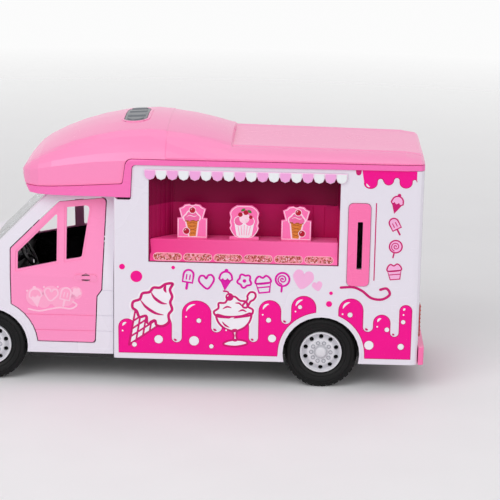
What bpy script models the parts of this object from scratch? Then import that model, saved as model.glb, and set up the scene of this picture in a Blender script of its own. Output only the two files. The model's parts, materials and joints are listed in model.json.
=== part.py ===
"""Toy ice cream truck: a plastic van with a serving window, hinged cab doors and rolling wheels.

Metres, +Z up. The truck stands on Z = 0, its nose points to -X and its serving window to -Y.
The origin is the bottom centre of its bounding box.
"""
import math

import bmesh
import bpy
from mathutils import Matrix, Vector

# overall
WHEELBASE = 0.220
FRONT_OVERHANG = 0.062
REAR_OVERHANG = 0.068
CAB_HALF = 0.054
BODY_STEP = 0.0020
BODY_HALF = CAB_HALF + BODY_STEP
WALL = 0.0020
GAP = 0.0003
BUMPER_DEEP = 0.0040
BODY_REAR = WHEELBASE + REAR_OVERHANG - BUMPER_DEEP
AXLE_X = -(WHEELBASE + REAR_OVERHANG - FRONT_OVERHANG) / 2
REAR_AXLE_X = AXLE_X + WHEELBASE
NOSE_X = AXLE_X - FRONT_OVERHANG
TAIL_X = REAR_AXLE_X + REAR_OVERHANG
REAR_FACE_X = AXLE_X + BODY_REAR
PAST = 0.0200

# wheels
TYRE_R = 0.024
TYRE_W = 0.0165
RIM_R = 0.0139
RIM_DEPTH = 0.0060
WHEEL_OUT = CAB_HALF - 0.0010
AXLE_R = 0.0015
AXLE_GAP = 0.0004
WHEEL_GAP = 0.0020
ARCH_R = TYRE_R + 0.0014
ARCH_WALL = 0.0012
ARCH_LIP = 0.0014
LIP_PROUD = 0.0004
SILL_PROUD = 0.0003
HUB_HOLES = 10
HUB_HOLE_R = 0.0012
HUB_HOLE_CIRCLE = 0.0106
HUB_HOLE_DEEP = 0.0050
HUB_CAP_R = 0.0039

# heights
SILL_Z = 0.018
CAB_SILL_Z = SILL_Z + 0.0020
SILL_STRIP = 0.0032
FLOOR_Z = 0.0165
FLOOR_T = 0.0025
BUMPER_TOP = 0.041
BELT_Z = 0.072
CAB_ROOF_Z = 0.1270
BODY_TOP = 0.1490
TRIM_BOTTOM = CAB_ROOF_Z + 0.0007
TRIM_TOP = BODY_TOP + 0.0036
PAN_TOP = TRIM_BOTTOM + 0.0018
DOME_RISE = 0.0456
DOME_TOP = TRIM_BOTTOM + DOME_RISE
ROOF_EDGE = TRIM_TOP + 0.0062

# cab
CAB_LEAN = 0.165
CAB_SKIN = 0.0022
CAB_CORNER = 0.0025
CAB_LENGTH = 0.0823
COWL = (-0.002, 0.0855)
HEADER = (0.0385, CAB_ROOF_Z)
PILLAR = 0.0050
SEAM = 0.0005
GROOVE_W = 0.0006
GROOVE_DEEP = 0.0004
GROOVES = (0.0355, 0.0461)
POST_GROOVES = (0.0355, 0.0461, 0.0634)

# doors
DOOR_GAP = 0.0007
DOOR_HINGE_IN = 0.0015
DOOR_FRONT_X = 0.0142
DOOR_BACK_X = CAB_LENGTH - 0.0057
DOOR_LOW_Z = 0.0277
DOOR_ARC_R = 0.0325
WINDOW_RIM = 0.0014
WINDOW_RIM_DEEP = 0.0005
HANDLE_X = DOOR_BACK_X - 0.0125
HANDLE_Z = BELT_Z - 0.0002
HANDLE_PAD = (0.0148, 0.0042)
HANDLE_HOLE = (0.0068, 0.0054)
HANDLE_BAR = 0.0022
HANDLE_PROUD = 0.0005

# nose
SCREEN_EDGE = 0.0040
GRILLE_HALF = (0.0150, 0.0210)
GRILLE_Z = (BUMPER_TOP + 0.0020, 0.0555)
GRILLE_SLOTS = 4
GRILLE_DEEP = 0.0009
LIGHT_IN = 0.0025
LIGHT_WRAP = 0.0120
LIGHT_Z = (BUMPER_TOP + 0.0030, 0.0600)
COWL_VENT_X = (-0.0130, -0.0090)
COWL_VENT_Y = (CAB_HALF - 0.0280, CAB_HALF - 0.0140)
INTAKE_Z = (0.0260, 0.0320)
INTAKE_HALF = (0.0170, 0.0190)
DIMPLE_R = 0.0013
DIMPLE_Y = CAB_HALF - 0.0265
DIMPLE_Z = 0.0290
DIMPLE_DEEP = 0.0026

# roof
TRIM_PROUD = 0.0012
BUTTON_RIM_PROUD = 0.0004
TRIM_FOOT = 0.0018
STEP_X = CAB_LENGTH + 0.0112
TRIM_BAND = 0.0052
ROOF_WALL = 0.0020

# side panels
VENT_X = (BODY_REAR - 0.0484, BODY_REAR - 0.0340)
VENT_Z = (0.0714, 0.1267)
VENT_RIM = 0.0061
VENT_SLOT = 0.0034
VENT_PROUD = 0.0008
VENT_SINK = 0.0011

# serving window
NICHE_X = (CAB_LENGTH + 0.0231, VENT_X[0] - 0.0055)
NICHE_Z = (0.0842, BODY_TOP - 0.0035)
NICHE_DEPTH = 0.0160
NICHE_WALL = 0.0012
NICHE_LIP = 0.0006
NICHE_SLANT = 0.0144
NICHE_RIBS = 5
NICHE_STEP_Z = BODY_TOP - 0.0276
NICHE_STEP = 0.0006
COUNTER_TOP = NICHE_Z[0] + 0.0153
COUNTER_BREAK = NICHE_Z[0] + 0.0063
SIGN_PITCH = 0.0340
SIGN_X = [(NICHE_X[0] + NICHE_X[1]) / 2 + SIGN_PITCH * k for k in (-1, 0, 1)]
SIGN_T = 0.0012
CARD_TAB = 0.0098
CARD_SINK = 0.0028
SIGN_Y = BODY_HALF - 0.0060
AWNING_X = (NICHE_X[0] - 0.0028, NICHE_X[1] + 0.0041)
AWNING_Z = (NICHE_Z[1] - 0.0061, NICHE_Z[1] + 0.0007)
SCALLOPS = 18

# button on the roof
BUTTON_X = STEP_X
BUTTON_SIZE = (0.0150, 0.0470)
BUTTON_RIM = 0.0018
BUTTON_RIBS = 4
BUTTON_PITCH = 0.0135
BUTTON_RIB_W = 0.0060
BUTTON_PROUD = 0.0004
BAR_PROUD = 0.0008
BAR_IN = 0.0016

# cab inside
SEAT_HALF = CAB_HALF - 0.0140
SEAT_BACK_X = CAB_LENGTH - 0.0026
SEAT_Z = (0.0480, 0.0890)
SEAT_GROOVE = 0.0008
TUB_T = 0.0016
DASH_X = (-0.0020, 0.0130)
DASH_Z = (0.0560, 0.0785)
DASH_LIP = (0.0165, 0.0700)
DASH_TOP = (0.0100, 0.0800)
STEER_Y = -(CAB_HALF - 0.0300)
STEER_R = 0.0105
STEER_TUBE = 0.0011
STEER_COLUMN = 0.0100

# underside and rear
BATTERY_X = (WHEELBASE - 0.1300, WHEELBASE - 0.0750)
BATTERY_HALF = 0.0200
BATTERY_T = 0.0015
LID_GRIPS = 3
SCREW_WELL_R = 0.0024
SCREW_WELL_DEEP = 0.0012
SPEAKER_SLOTS = 5
SPEAKER_PITCH = 0.0028
REAR_BUMPER_TOP = 0.0300
LAMP_Z = (0.0360, 0.0580)
LAMP_W = 0.0080
LAMP_IN = 0.0050
LAMP_SINK = 0.0010
LAMP_PROUD = 0.0010

SEGMENTS = 32
SMOOTH_ANGLE = 34

# colour, roughness, metallic
FINISHES = {
    "white_plastic": ((0.80, 0.76, 0.82, 1), 0.30, 0.0),
    "pink_plastic": ((0.95, 0.31, 0.58, 1), 0.30, 0.0),
    "hot_pink_plastic": ((0.90, 0.17, 0.47, 1), 0.30, 0.0),
    "magenta_plastic": ((0.21, 0.0, 0.045, 1), 0.45, 0.0),
    "awning_plastic": ((0.93, 0.36, 0.75, 1), 0.35, 0.0),
    "black_plastic": ((0.016, 0.015, 0.017, 1), 0.45, 0.0),
    "tyre_rubber": ((0.018, 0.017, 0.018, 1), 0.60, 0.0),
    "rim_plastic": ((0.75, 0.72, 0.76, 1), 0.30, 0.0),
    "clear_plastic": ((0.35, 0.35, 0.37, 1), 0.08, 0.0),
    "silver_plastic": ((0.55, 0.55, 0.57, 1), 0.22, 0.9),
    "red_lens": ((0.60, 0.02, 0.02, 1), 0.15, 0.0),
    "steel": ((0.55, 0.55, 0.57, 1), 0.30, 1.0),
    "card": ((0.85, 0.42, 0.60, 1), 0.40, 0.0),
}

PARTS = None
CUTTERS = None
MATERIALS = {}


def clear_scene():
    """Remove every object and make the two collections."""
    global PARTS, CUTTERS
    for old in list(bpy.data.objects):
        bpy.data.objects.remove(old, do_unlink=True)
    PARTS = bpy.data.collections.new("ice_cream_truck")
    CUTTERS = bpy.data.collections.new("cutters")
    bpy.context.scene.collection.children.link(PARTS)
    bpy.context.scene.collection.children.link(CUTTERS)


def material(finish):
    """The material of one finish, made on first use."""
    if finish not in MATERIALS:
        colour, rough, metal = FINISHES[finish]
        new = bpy.data.materials.new(finish)
        new.use_nodes = True
        shader = new.node_tree.nodes["Principled BSDF"]
        shader.inputs["Base Color"].default_value = colour
        shader.inputs["Roughness"].default_value = rough
        shader.inputs["Metallic"].default_value = metal
        MATERIALS[finish] = new
    return MATERIALS[finish]


def piece(name, mesh, finish, location=(0, 0, 0)):
    """A named part of the truck; its mesh is copied so that pieces may differ in finish."""
    own = mesh.copy()
    own.name = name
    own.materials.clear()
    own.materials.append(material(finish))
    obj = bpy.data.objects.new(name, own)
    obj.location = location
    PARTS.objects.link(obj)
    return obj


def tool(name, mesh):
    """A shape that only cuts, trims or joins, kept out of the model."""
    obj = bpy.data.objects.new("tool_" + name, mesh)
    obj.display_type = "WIRE"
    obj.hide_render = True
    CUTTERS.objects.link(obj)
    return obj


def boolean(obj, mesh, operation):
    """Add an exact Boolean with a shape given in world coordinates."""
    other = tool(obj.name, mesh)
    modifier = obj.modifiers.new(operation.lower(), "BOOLEAN")
    modifier.operation = operation
    modifier.solver = "EXACT"
    modifier.object = other
    return obj


def cut(obj, *meshes):
    for mesh in meshes:
        boolean(obj, mesh, "DIFFERENCE")
    return obj


def keep(obj, *meshes):
    for mesh in meshes:
        boolean(obj, mesh, "INTERSECT")
    return obj


def join(obj, *meshes):
    for mesh in meshes:
        boolean(obj, mesh, "UNION")
    return obj


def finish_mesh(bm, name):
    """Turn a bmesh into a mesh with its faces pointing out."""
    bm.normal_update()
    bmesh.ops.recalc_face_normals(bm, faces=bm.faces)
    mesh = bpy.data.meshes.new(name)
    bm.to_mesh(mesh)
    bm.free()
    return mesh


def box(low, high, name="box"):
    """A block between two corners."""
    bm = bmesh.new()
    bmesh.ops.create_cube(bm, size=1)
    size = Vector(high) - Vector(low)
    bmesh.ops.scale(bm, vec=size, verts=bm.verts)
    bmesh.ops.translate(bm, vec=(Vector(high) + Vector(low)) / 2, verts=bm.verts)
    return finish_mesh(bm, name)


def rod(radius, start, end, segments=SEGMENTS, end_radius=None, name="rod"):
    """A cylinder or cone between two points."""
    start, end = Vector(start), Vector(end)
    way = end - start
    bm = bmesh.new()
    bmesh.ops.create_cone(bm, cap_ends=True, segments=segments, radius1=radius,
                          radius2=radius if end_radius is None else end_radius, depth=way.length)
    turn = way.to_track_quat("Z", "X").to_matrix().to_4x4()
    bm.transform(Matrix.Translation((start + end) / 2) @ turn)
    return finish_mesh(bm, name)


def loft(rings, name="loft"):
    """A closed solid through rings of points, each ring having as many points."""
    bm = bmesh.new()
    rows = [[bm.verts.new(point) for point in ring] for ring in rings]
    for row, following in zip(rows, rows[1:]):
        for i in range(len(row)):
            j = (i + 1) % len(row)
            bm.faces.new((row[i], row[j], following[j], following[i]))
    bm.faces.new(rows[0])
    bm.faces.new(rows[-1])
    return finish_mesh(bm, name)


def turned(profile, axis_point, segments=SEGMENTS, name="turned"):
    """A solid of revolution about a line along Y through a point; the profile lists (radius, y).

    A profile whose ends lie on the axis is left open there, any other is closed.
    """
    bm = bmesh.new()
    verts = [bm.verts.new((radius, y, 0)) for radius, y in profile]
    pairs = list(zip(verts, verts[1:]))
    if profile[0][0] > 0:
        pairs.append((verts[-1], verts[0]))
    edges = [bm.edges.new(pair) for pair in pairs]
    bmesh.ops.spin(bm, geom=verts + edges, cent=(0, 0, 0), axis=(0, 1, 0), angle=math.tau,
                   steps=segments, use_merge=True, use_duplicate=False)
    bmesh.ops.remove_doubles(bm, verts=bm.verts, dist=1e-6)
    bmesh.ops.translate(bm, vec=Vector(axis_point), verts=bm.verts)
    return finish_mesh(bm, name)


def rounded(points, radius, steps=3):
    """An outline with its corners rounded; each point is (u, v) or (u, v, its own radius)."""
    outline = []
    count = len(points)
    for i in range(count):
        here = Vector(points[i][:2])
        r = points[i][2] if len(points[i]) > 2 else radius
        before = Vector(points[i - 1][:2]) - here
        after = Vector(points[(i + 1) % count][:2]) - here
        angle = before.angle(after)
        if r <= 0 or angle > math.radians(176):
            outline.append(tuple(here))
            continue
        reach = min(r / math.tan(angle / 2), before.length * 0.49, after.length * 0.49)
        r = reach * math.tan(angle / 2)
        centre = here + (before.normalized() + after.normalized()).normalized() * (r / math.sin(angle / 2))
        start = here + before.normalized() * reach - centre
        end = here + after.normalized() * reach - centre
        sweep = math.atan2(start.cross(end), start.dot(end))
        for k in range(steps + 1):
            a = sweep * k / steps
            c, s = math.cos(a), math.sin(a)
            outline.append((centre.x + start.x * c - start.y * s, centre.y + start.x * s + start.y * c))
    return outline


SIDE = Matrix(((1, 0, 0, 0), (0, 0, -1, 0), (0, 1, 0, 0), (0, 0, 0, 1)))
FRONT = Matrix(((0, 0, 1, 0), (1, 0, 0, 0), (0, 1, 0, 0), (0, 0, 0, 1)))
PLAN = Matrix.Identity(4)


def plate(outline, low, high, frame, holes=(), name="plate"):
    """A flat outline extruded between two depths along the normal of its frame."""
    curve = bpy.data.curves.new(name, "CURVE")
    curve.dimensions = "2D"
    curve.fill_mode = "BOTH"
    curve.extrude = (high - low) / 2
    for loop in (outline, *holes):
        spline = curve.splines.new("POLY")
        spline.points.add(len(loop) - 1)
        for point, (u, v) in zip(spline.points, loop):
            point.co = (u, v, 0, 1)
        spline.use_cyclic_u = True
    holder = bpy.data.objects.new(name, curve)
    CUTTERS.objects.link(holder)
    bpy.context.view_layer.update()
    evaluated = holder.evaluated_get(bpy.context.evaluated_depsgraph_get())
    raw = bpy.data.meshes.new_from_object(evaluated)
    bm = bmesh.new()
    bm.from_mesh(raw)
    bmesh.ops.remove_doubles(bm, verts=bm.verts, dist=1e-6)
    bmesh.ops.translate(bm, vec=(0, 0, (high + low) / 2), verts=bm.verts)
    bm.transform(frame)
    bpy.data.objects.remove(holder, do_unlink=True)
    return finish_mesh(bm, name)


def side_plate(points, y_low, y_high, radius=0, name="side_plate"):
    """An outline of (station from the front axle, height) between two Y values."""
    moved = [(point[0] + AXLE_X, *point[1:]) for point in points]
    return plate(rounded(moved, radius), -y_high, -y_low, SIDE, name=name)


def grown(points, amount):
    """An outline moved outward by an amount, its corners kept."""
    count = len(points)
    area = sum(points[i - 1][0] * points[i][1] - points[i][0] * points[i - 1][1] for i in range(count))
    sign = 1 if area > 0 else -1
    result = []
    for i in range(count):
        here = Vector(points[i][:2])
        before = (here - Vector(points[i - 1][:2])).normalized()
        after = (Vector(points[(i + 1) % count][:2]) - here).normalized()
        normal_before = Vector((before.y, -before.x)) * sign
        normal_after = Vector((after.y, -after.x)) * sign
        middle = (normal_before + normal_after).normalized()
        moved = here + middle * (amount / max(middle.dot(normal_before), 0.3))
        result.append((moved.x, moved.y, *points[i][2:]))
    return result


def ellipse(centre, half_u, half_v, steps):
    """An oval outline about a centre."""
    angles = [math.tau * k / steps for k in range(steps)]
    return [(centre[0] + half_u * math.cos(a), centre[1] + half_v * math.sin(a)) for a in angles]


def combined(mesh, other, operation):
    """The mesh that a Boolean of two closed shapes gives."""
    blank = tool("blank", mesh)
    boolean(blank, other, operation)
    bpy.context.view_layer.update()
    result = bpy.data.meshes.new_from_object(blank.evaluated_get(bpy.context.evaluated_depsgraph_get()))
    bpy.data.objects.remove(blank.modifiers[0].object, do_unlink=True)
    bpy.data.objects.remove(blank, do_unlink=True)
    return result


def mirror_y(side, low, high):
    """A pair of Y values on one side of the truck; side is -1 at the serving window."""
    return (low * side, high * side) if side > 0 else (high * side, low * side)


def side_range(side, half, deep):
    """The Y values of a cut in one side, from a depth inside its face to well outside it."""
    return mirror_y(side, half - deep, half + PAST)


def mirrored(outline, side):
    """An outline in (y, z) for one side of the truck, turned the same way round on both."""
    outline = [(point[0] * side, *point[1:]) for point in outline]
    if side < 0:
        outline.reverse()
    return outline


# station from the front axle, half width, height of the top, crown of the top
CAB_SECTIONS = (
    (-0.0600, CAB_HALF - 0.0320, 0.0470, 0.0000),
    (-0.0590, CAB_HALF - 0.0240, 0.0535, 0.0010),
    (-0.0570, CAB_HALF - 0.0175, 0.0585, 0.0018),
    (-0.0530, CAB_HALF - 0.0110, 0.0625, 0.0022),
    (-0.0470, CAB_HALF - 0.0060, 0.0660, 0.0025),
    (-0.0380, CAB_HALF - 0.0025, 0.0705, 0.0028),
    (-0.0240, CAB_HALF, 0.0770, 0.0030),
    (*COWL[:1], CAB_HALF, COWL[1], 0.0030),
    (*HEADER[:1], CAB_HALF, HEADER[1], 0.0000),
    (CAB_LENGTH, CAB_HALF, CAB_ROOF_Z, 0.0000),
)
NOSE_ROWS = 7
SLOPE_INSET = 1.1


def cab_ring(x, half, top, crown, inset, bottom):
    """One cross-section of the cab: upright to the belt line, leaning in above it."""
    half, top = half - inset, top - inset
    belt = min(BELT_Z, top - 2 * CAB_CORNER)
    edge = half - (top - CAB_CORNER - belt) * CAB_LEAN
    right = [(half, bottom), (half, belt)]
    for y, z in arc_points((edge - CAB_CORNER, top - CAB_CORNER), CAB_CORNER, 0, 90, 3):
        right.append((y, z))
    inner = edge - CAB_CORNER
    right += [(inner * 0.5, top + crown * 0.75), (0, top + crown)]
    left = [(-y, z) for y, z in reversed(right[:-1])]
    return [(x + AXLE_X, y, z) for y, z in right + left]


def cab_solid(inset, open_end, bottom):
    """The cab's outer form, or the hollow inside it at some inset."""
    rings = []
    for x, half, top, crown in CAB_SECTIONS:
        slope_inset = inset * SLOPE_INSET if x < COWL[0] else inset
        shift = inset if x < CAB_SECTIONS[NOSE_ROWS - 3][0] else 0
        rings.append(cab_ring(x + shift, half, top, crown, slope_inset, bottom))
    if open_end:
        x, half, top, crown = CAB_SECTIONS[-1]
        rings.append(cab_ring(x + open_end, half, top, crown, inset, bottom))
    return loft(rings, "cab")


def cab_skin(name, finish):
    """A piece that is part of the cab's thin skin, before it is trimmed to its outline."""
    obj = piece(name, cab_solid(0, 0, SILL_Z - WALL), finish)
    return cut(obj, cab_solid(CAB_SKIN, PAST, SILL_Z - PAST))


# corners as station from the front axle, height and radius, anticlockwise from the serving side
DOOR_OUTLINE = (
    (DOOR_BACK_X - 0.0067, DOOR_LOW_Z, 0.0020),
    (DOOR_BACK_X - 0.0055, BELT_Z - 0.0126, 0.0020), (DOOR_BACK_X - 0.0023, BELT_Z - 0.0081, 0.0020),
    (DOOR_BACK_X, CAB_ROOF_Z - 0.0030, 0.0025), (0.0456, CAB_ROOF_Z - 0.0061, 0.0030),
    (DOOR_FRONT_X, COWL[1] + 0.0043, 0.0020),
)
WINDOW_FRONT = (
    (DOOR_FRONT_X + 0.0046, BELT_Z + 0.0043, 0.0006), (DOOR_BACK_X - 0.0320, BELT_Z + 0.0099, 0.0006),
    (DOOR_BACK_X - 0.0320, CAB_ROOF_Z - 0.0137, 0.0006), (DOOR_FRONT_X + 0.0046, COWL[1] + 0.0021, 0.0006),
)
WINDOW_REAR = (
    (DOOR_BACK_X - 0.0257, BELT_Z + 0.0112, 0.0006), (DOOR_BACK_X - 0.0155, BELT_Z + 0.0130, 0.0020),
    (DOOR_BACK_X - 0.0104, CAB_ROOF_Z - 0.0079, 0.0022), (DOOR_BACK_X - 0.0257, CAB_ROOF_Z - 0.0096, 0.0006),
)


def arc_points(centre, radius, start, end, steps):
    """Points of an arc between two angles in degrees."""
    return [(centre[0] + radius * math.cos(math.radians(start + (end - start) * k / steps)),
             centre[1] + radius * math.sin(math.radians(start + (end - start) * k / steps)))
            for k in range(steps + 1)]


def door_outline():
    """The door's outline with its lower front corner swept round the front wheel."""
    arc = [(x, z, 0) for x, z in arc_points((0, TYRE_R), DOOR_ARC_R, 63, 7, 6)]
    return arc + list(DOOR_OUTLINE)


def side_groove(side, x_low, x_high, z):
    """A shallow level groove in the cab's side below the belt line."""
    low, high = side_range(side, CAB_HALF, GROOVE_DEEP)
    return box((AXLE_X + x_low, low, z - GROOVE_W / 2), (AXLE_X + x_high, high, z + GROOVE_W / 2))


def wheel_arch(side, axle_x):
    """The round cut over a wheel."""
    low, high = side_range(side, CAB_HALF, CAB_HALF / 2)
    return rod(ARCH_R, (axle_x, low, TYRE_R), (axle_x, high, TYRE_R))


def arch_lip(side, station, half):
    """The raised lip that follows a wheel arch, its ends left below the sill to be trimmed."""
    outline = arc_points((station, TYRE_R), ARCH_R + ARCH_LIP, -20, 200, 22)
    outline += arc_points((station, TYRE_R), ARCH_R - ARCH_LIP, 200, -20, 12)
    low, high = mirror_y(side, half - WALL / 2, half + LIP_PROUD)
    return side_plate(outline, low, high)


def sill_strip(side, x_low, x_high, half, bottom):
    """The raised strip along the lower edge of a side, from below the sill to be trimmed."""
    low, high = mirror_y(side, half - WALL / 3, half + SILL_PROUD)
    return box((AXLE_X + x_low, low, bottom - WALL), (AXLE_X + x_high, high, bottom + SILL_STRIP))


def make_cab():
    """The white cab shell and the pieces that are set into its skin."""
    shell = cab_skin("cab_shell", "white_plastic")
    for side in (-1, 1):
        low, high = side_range(side, CAB_HALF, CAB_HALF / 2)
        join(shell, sill_strip(side, ARCH_R, CAB_LENGTH, CAB_HALF, CAB_SILL_Z))
        join(shell, arch_lip(side, 0, CAB_HALF))
        cut(shell, side_plate(grown(door_outline(), DOOR_GAP), low, high))
        cut(shell, wheel_arch(side, AXLE_X))
        for z in POST_GROOVES:
            cut(shell, side_groove(side, DOOR_BACK_X - 0.0070, CAB_LENGTH + PAST, z))
    cut(shell, windshield_plate(GAP))
    wide = BODY_HALF + PAST
    cut(shell, box((NOSE_X - PAST, -wide, 0), (AXLE_X, wide, BUMPER_TOP + GAP)))
    cut(shell, box((AXLE_X - WALL, -wide, 0), (AXLE_X + CAB_LENGTH + PAST, wide, CAB_SILL_Z)))
    cut(shell, grille_plate(GAP), lamp_plate(-1, GAP), lamp_plate(1, GAP))
    for side in (-1, 1):
        cut(shell, cowl_vent_plate(side, GAP))

    glass = cab_skin("windshield", "clear_plastic")
    keep(glass, windshield_plate(0))
    make_grille()
    for side, name in ((-1, "left"), (1, "right")):
        lamp = cab_skin("headlight_" + name, "clear_plastic")
        keep(lamp, lamp_plate(side, 0))
        vent = cab_skin("cowl_vent_" + name, "black_plastic")
        keep(vent, cowl_vent_plate(side, 0))


def windshield_plate(growth):
    """The windscreen's outline, extruded along the screen's normal."""
    run = Vector((HEADER[0] - COWL[0], HEADER[1] - COWL[1]))
    up = Vector((run.x, 0, run.y)).normalized()
    across = Vector((0, 1, 0))
    normal = across.cross(up) * -1
    length = run.length
    low_half = CAB_HALF - (COWL[1] - BELT_Z) * CAB_LEAN - CAB_CORNER - PILLAR + growth
    high_half = CAB_HALF - (HEADER[1] - BELT_Z) * CAB_LEAN - CAB_CORNER - PILLAR + growth
    start, end = SCREEN_EDGE - growth, length - SCREEN_EDGE + growth
    outline = rounded(((-low_half, start), (low_half, start), (high_half, end), (-high_half, end)), SCREEN_EDGE)
    frame = Matrix((
        (across.x, up.x, normal.x, COWL[0] + AXLE_X), (across.y, up.y, normal.y, 0),
        (across.z, up.z, normal.z, COWL[1]), (0, 0, 0, 1)))
    return plate(outline, -CAB_SKIN * 4, CAB_SKIN * 4, frame)


def grille_plate(growth):
    """The grille's outline, seen from the front."""
    (low, high), (half_low, half_high) = GRILLE_Z, GRILLE_HALF
    outline = grown(((-half_low, low), (half_low, low), (half_high, high), (-half_high, high)), growth)
    return plate(rounded(outline, 0.0015), NOSE_X - PAST, AXLE_X + CAB_SECTIONS[3][0], FRONT)


def make_grille():
    """The black grille, its level slots cut to one depth all along the curved nose."""
    grille = cab_skin("grille", "black_plastic")
    keep(grille, grille_plate(0))
    core = cab_solid(GRILLE_DEEP, 0, SILL_Z)
    pitch = (GRILLE_Z[1] - GRILLE_Z[0]) / (GRILLE_SLOTS + 0.6)
    for k in range(GRILLE_SLOTS):
        z = GRILLE_Z[0] + pitch * (k + 0.8)
        half = GRILLE_HALF[0] + (GRILLE_HALF[1] - GRILLE_HALF[0]) * (k + 0.5) / GRILLE_SLOTS - 0.0014
        slot = box((NOSE_X - PAST, -half, z - pitch * 0.28), (AXLE_X, half, z + pitch * 0.28))
        cut(grille, combined(slot, core, "DIFFERENCE"))


def lamp_plate(side, growth):
    """A headlamp's outline, seen from the front, swept back round the corner."""
    inner, middle, outer = GRILLE_HALF[1] + LIGHT_IN, CAB_HALF - LIGHT_WRAP, CAB_HALF + PAST / 10
    low, high = LIGHT_Z
    outline = grown(((inner, low), (middle, low), (outer, high - 0.0040), (outer, high + 0.0010),
                     (middle + 0.0020, high), (inner + 0.0025, high - 0.0060)), growth)
    return plate(rounded(mirrored(outline, side), 0.0015), NOSE_X - PAST, AXLE_X - 0.0340 + growth, FRONT)


def cowl_vent_plate(side, growth):
    """The slot at the foot of the windscreen, seen from above."""
    (x0, x1), (y0, y1) = COWL_VENT_X, COWL_VENT_Y
    outline = grown(((x0, y0), (x1, y0), (x1, y1), (x0, y1)), growth)
    outline = [(x + AXLE_X, y * side) for x, y in outline]
    if side < 0:
        outline.reverse()
    return plate(rounded(outline, 0.001), BELT_Z - CAB_SKIN * 4, CAB_ROOF_Z, PLAN)


def make_doors():
    """Two cab doors, each hinged at its front edge on an upright line."""
    doors = []
    core = cab_solid(WINDOW_RIM_DEEP, PAST, SILL_Z)
    for side, name in ((-1, "left"), (1, "right")):
        door = cab_skin("door_" + name, "pink_plastic")
        low, high = side_range(side, CAB_HALF, CAB_HALF / 2)
        keep(door, side_plate(door_outline(), low, high))
        for window in (WINDOW_FRONT, WINDOW_REAR):
            cut(door, combined(side_plate(grown(window, WINDOW_RIM), low, high, 0.001), core, "DIFFERENCE"))
            cut(door, side_plate(window, low, high, 0.001))
        for z in GROOVES:
            cut(door, side_groove(side, 0, CAB_LENGTH, z))
        make_handle(door, side)
        doors.append(door)
    return doors


def make_handle(door, side):
    """The raised handle pad with a grip bar across its finger hole."""
    half_x, half_z = HANDLE_PAD[0] / 2, HANDLE_PAD[1] / 2
    x0, x1 = HANDLE_X - half_x, HANDLE_X + half_x
    low, high = mirror_y(side, CAB_HALF - CAB_SKIN / 2, CAB_HALF + HANDLE_PROUD)
    pad = ((x0, HANDLE_Z - half_z), (x1, HANDLE_Z - half_z), (x1, HANDLE_Z + half_z), (x0, HANDLE_Z + half_z))
    join(door, side_plate(pad, low, high, half_z))
    hole = ellipse((HANDLE_X, HANDLE_Z), HANDLE_HOLE[0] / 2, HANDLE_HOLE[1] / 2, 16)
    cut(door, side_plate(hole, *side_range(side, CAB_HALF, CAB_HALF / 2)))
    reach = HANDLE_HOLE[0] / 2 + 0.0006
    low, high = mirror_y(side, CAB_HALF - CAB_SKIN * 0.7, CAB_HALF + HANDLE_PROUD / 2)
    join(door, box((AXLE_X + HANDLE_X - reach, low, HANDLE_Z - HANDLE_BAR / 2),
                   (AXLE_X + HANDLE_X + reach, high, HANDLE_Z + HANDLE_BAR / 2)))


def nose_plan(outset, back):
    """The bumper's outline in plan: an arched front between straight sides."""
    points = [(x + AXLE_X - outset, half + outset) for x, half, _top, _crown in CAB_SECTIONS[:NOSE_ROWS]]
    points.append((back, points[-1][1]))
    return points + [(x, -y) for x, y in reversed(points)]


def make_front_bumper():
    """The pink bumper round the nose, with an intake slot and two round dimples."""
    back = AXLE_X - 0.008
    outset = FRONT_OVERHANG + CAB_SECTIONS[0][0]
    bumper = piece("front_bumper", plate(nose_plan(outset, back), SILL_Z, BUMPER_TOP, PLAN), "hot_pink_plastic")
    inner = nose_plan(outset - CAB_SKIN - 0.0010, back + PAST)
    cut(bumper, plate(inner, 0, BUMPER_TOP + PAST, PLAN))
    for side in (-1, 1):
        cut(bumper, wheel_arch(side, AXLE_X))
        y = side * DIMPLE_Y
        cut(bumper, rod(DIMPLE_R, (NOSE_X - PAST, y, DIMPLE_Z), (NOSE_X + DIMPLE_DEEP, y, DIMPLE_Z), 14))
    (low, high), (half_low, half_high) = INTAKE_Z, INTAKE_HALF
    slot = ((-half_low, low), (half_low, low), (half_high, high), (-half_high, high))
    cut(bumper, plate(rounded(slot, 0.001), NOSE_X - PAST, NOSE_X + 0.0015, FRONT))
    return bumper


def lower_seam(low_z, shift):
    """The line where the roof's trim meets the cab and the white body, closed below."""
    foot = TRIM_BOTTOM - TRIM_FOOT
    return [
        (-PAST * 5, low_z), (-PAST * 5, TRIM_BOTTOM + shift), (CAB_LENGTH + SEAM - shift, TRIM_BOTTOM + shift),
        (CAB_LENGTH + SEAM + TRIM_FOOT - shift, foot + shift, 0.0008), (STEP_X - shift, foot + shift, 0.0012),
        (STEP_X + 0.0010 - shift, BODY_TOP + shift, 0.0025), (BODY_REAR + PAST, BODY_TOP + shift),
        (BODY_REAR + PAST, low_z),
    ]


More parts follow.
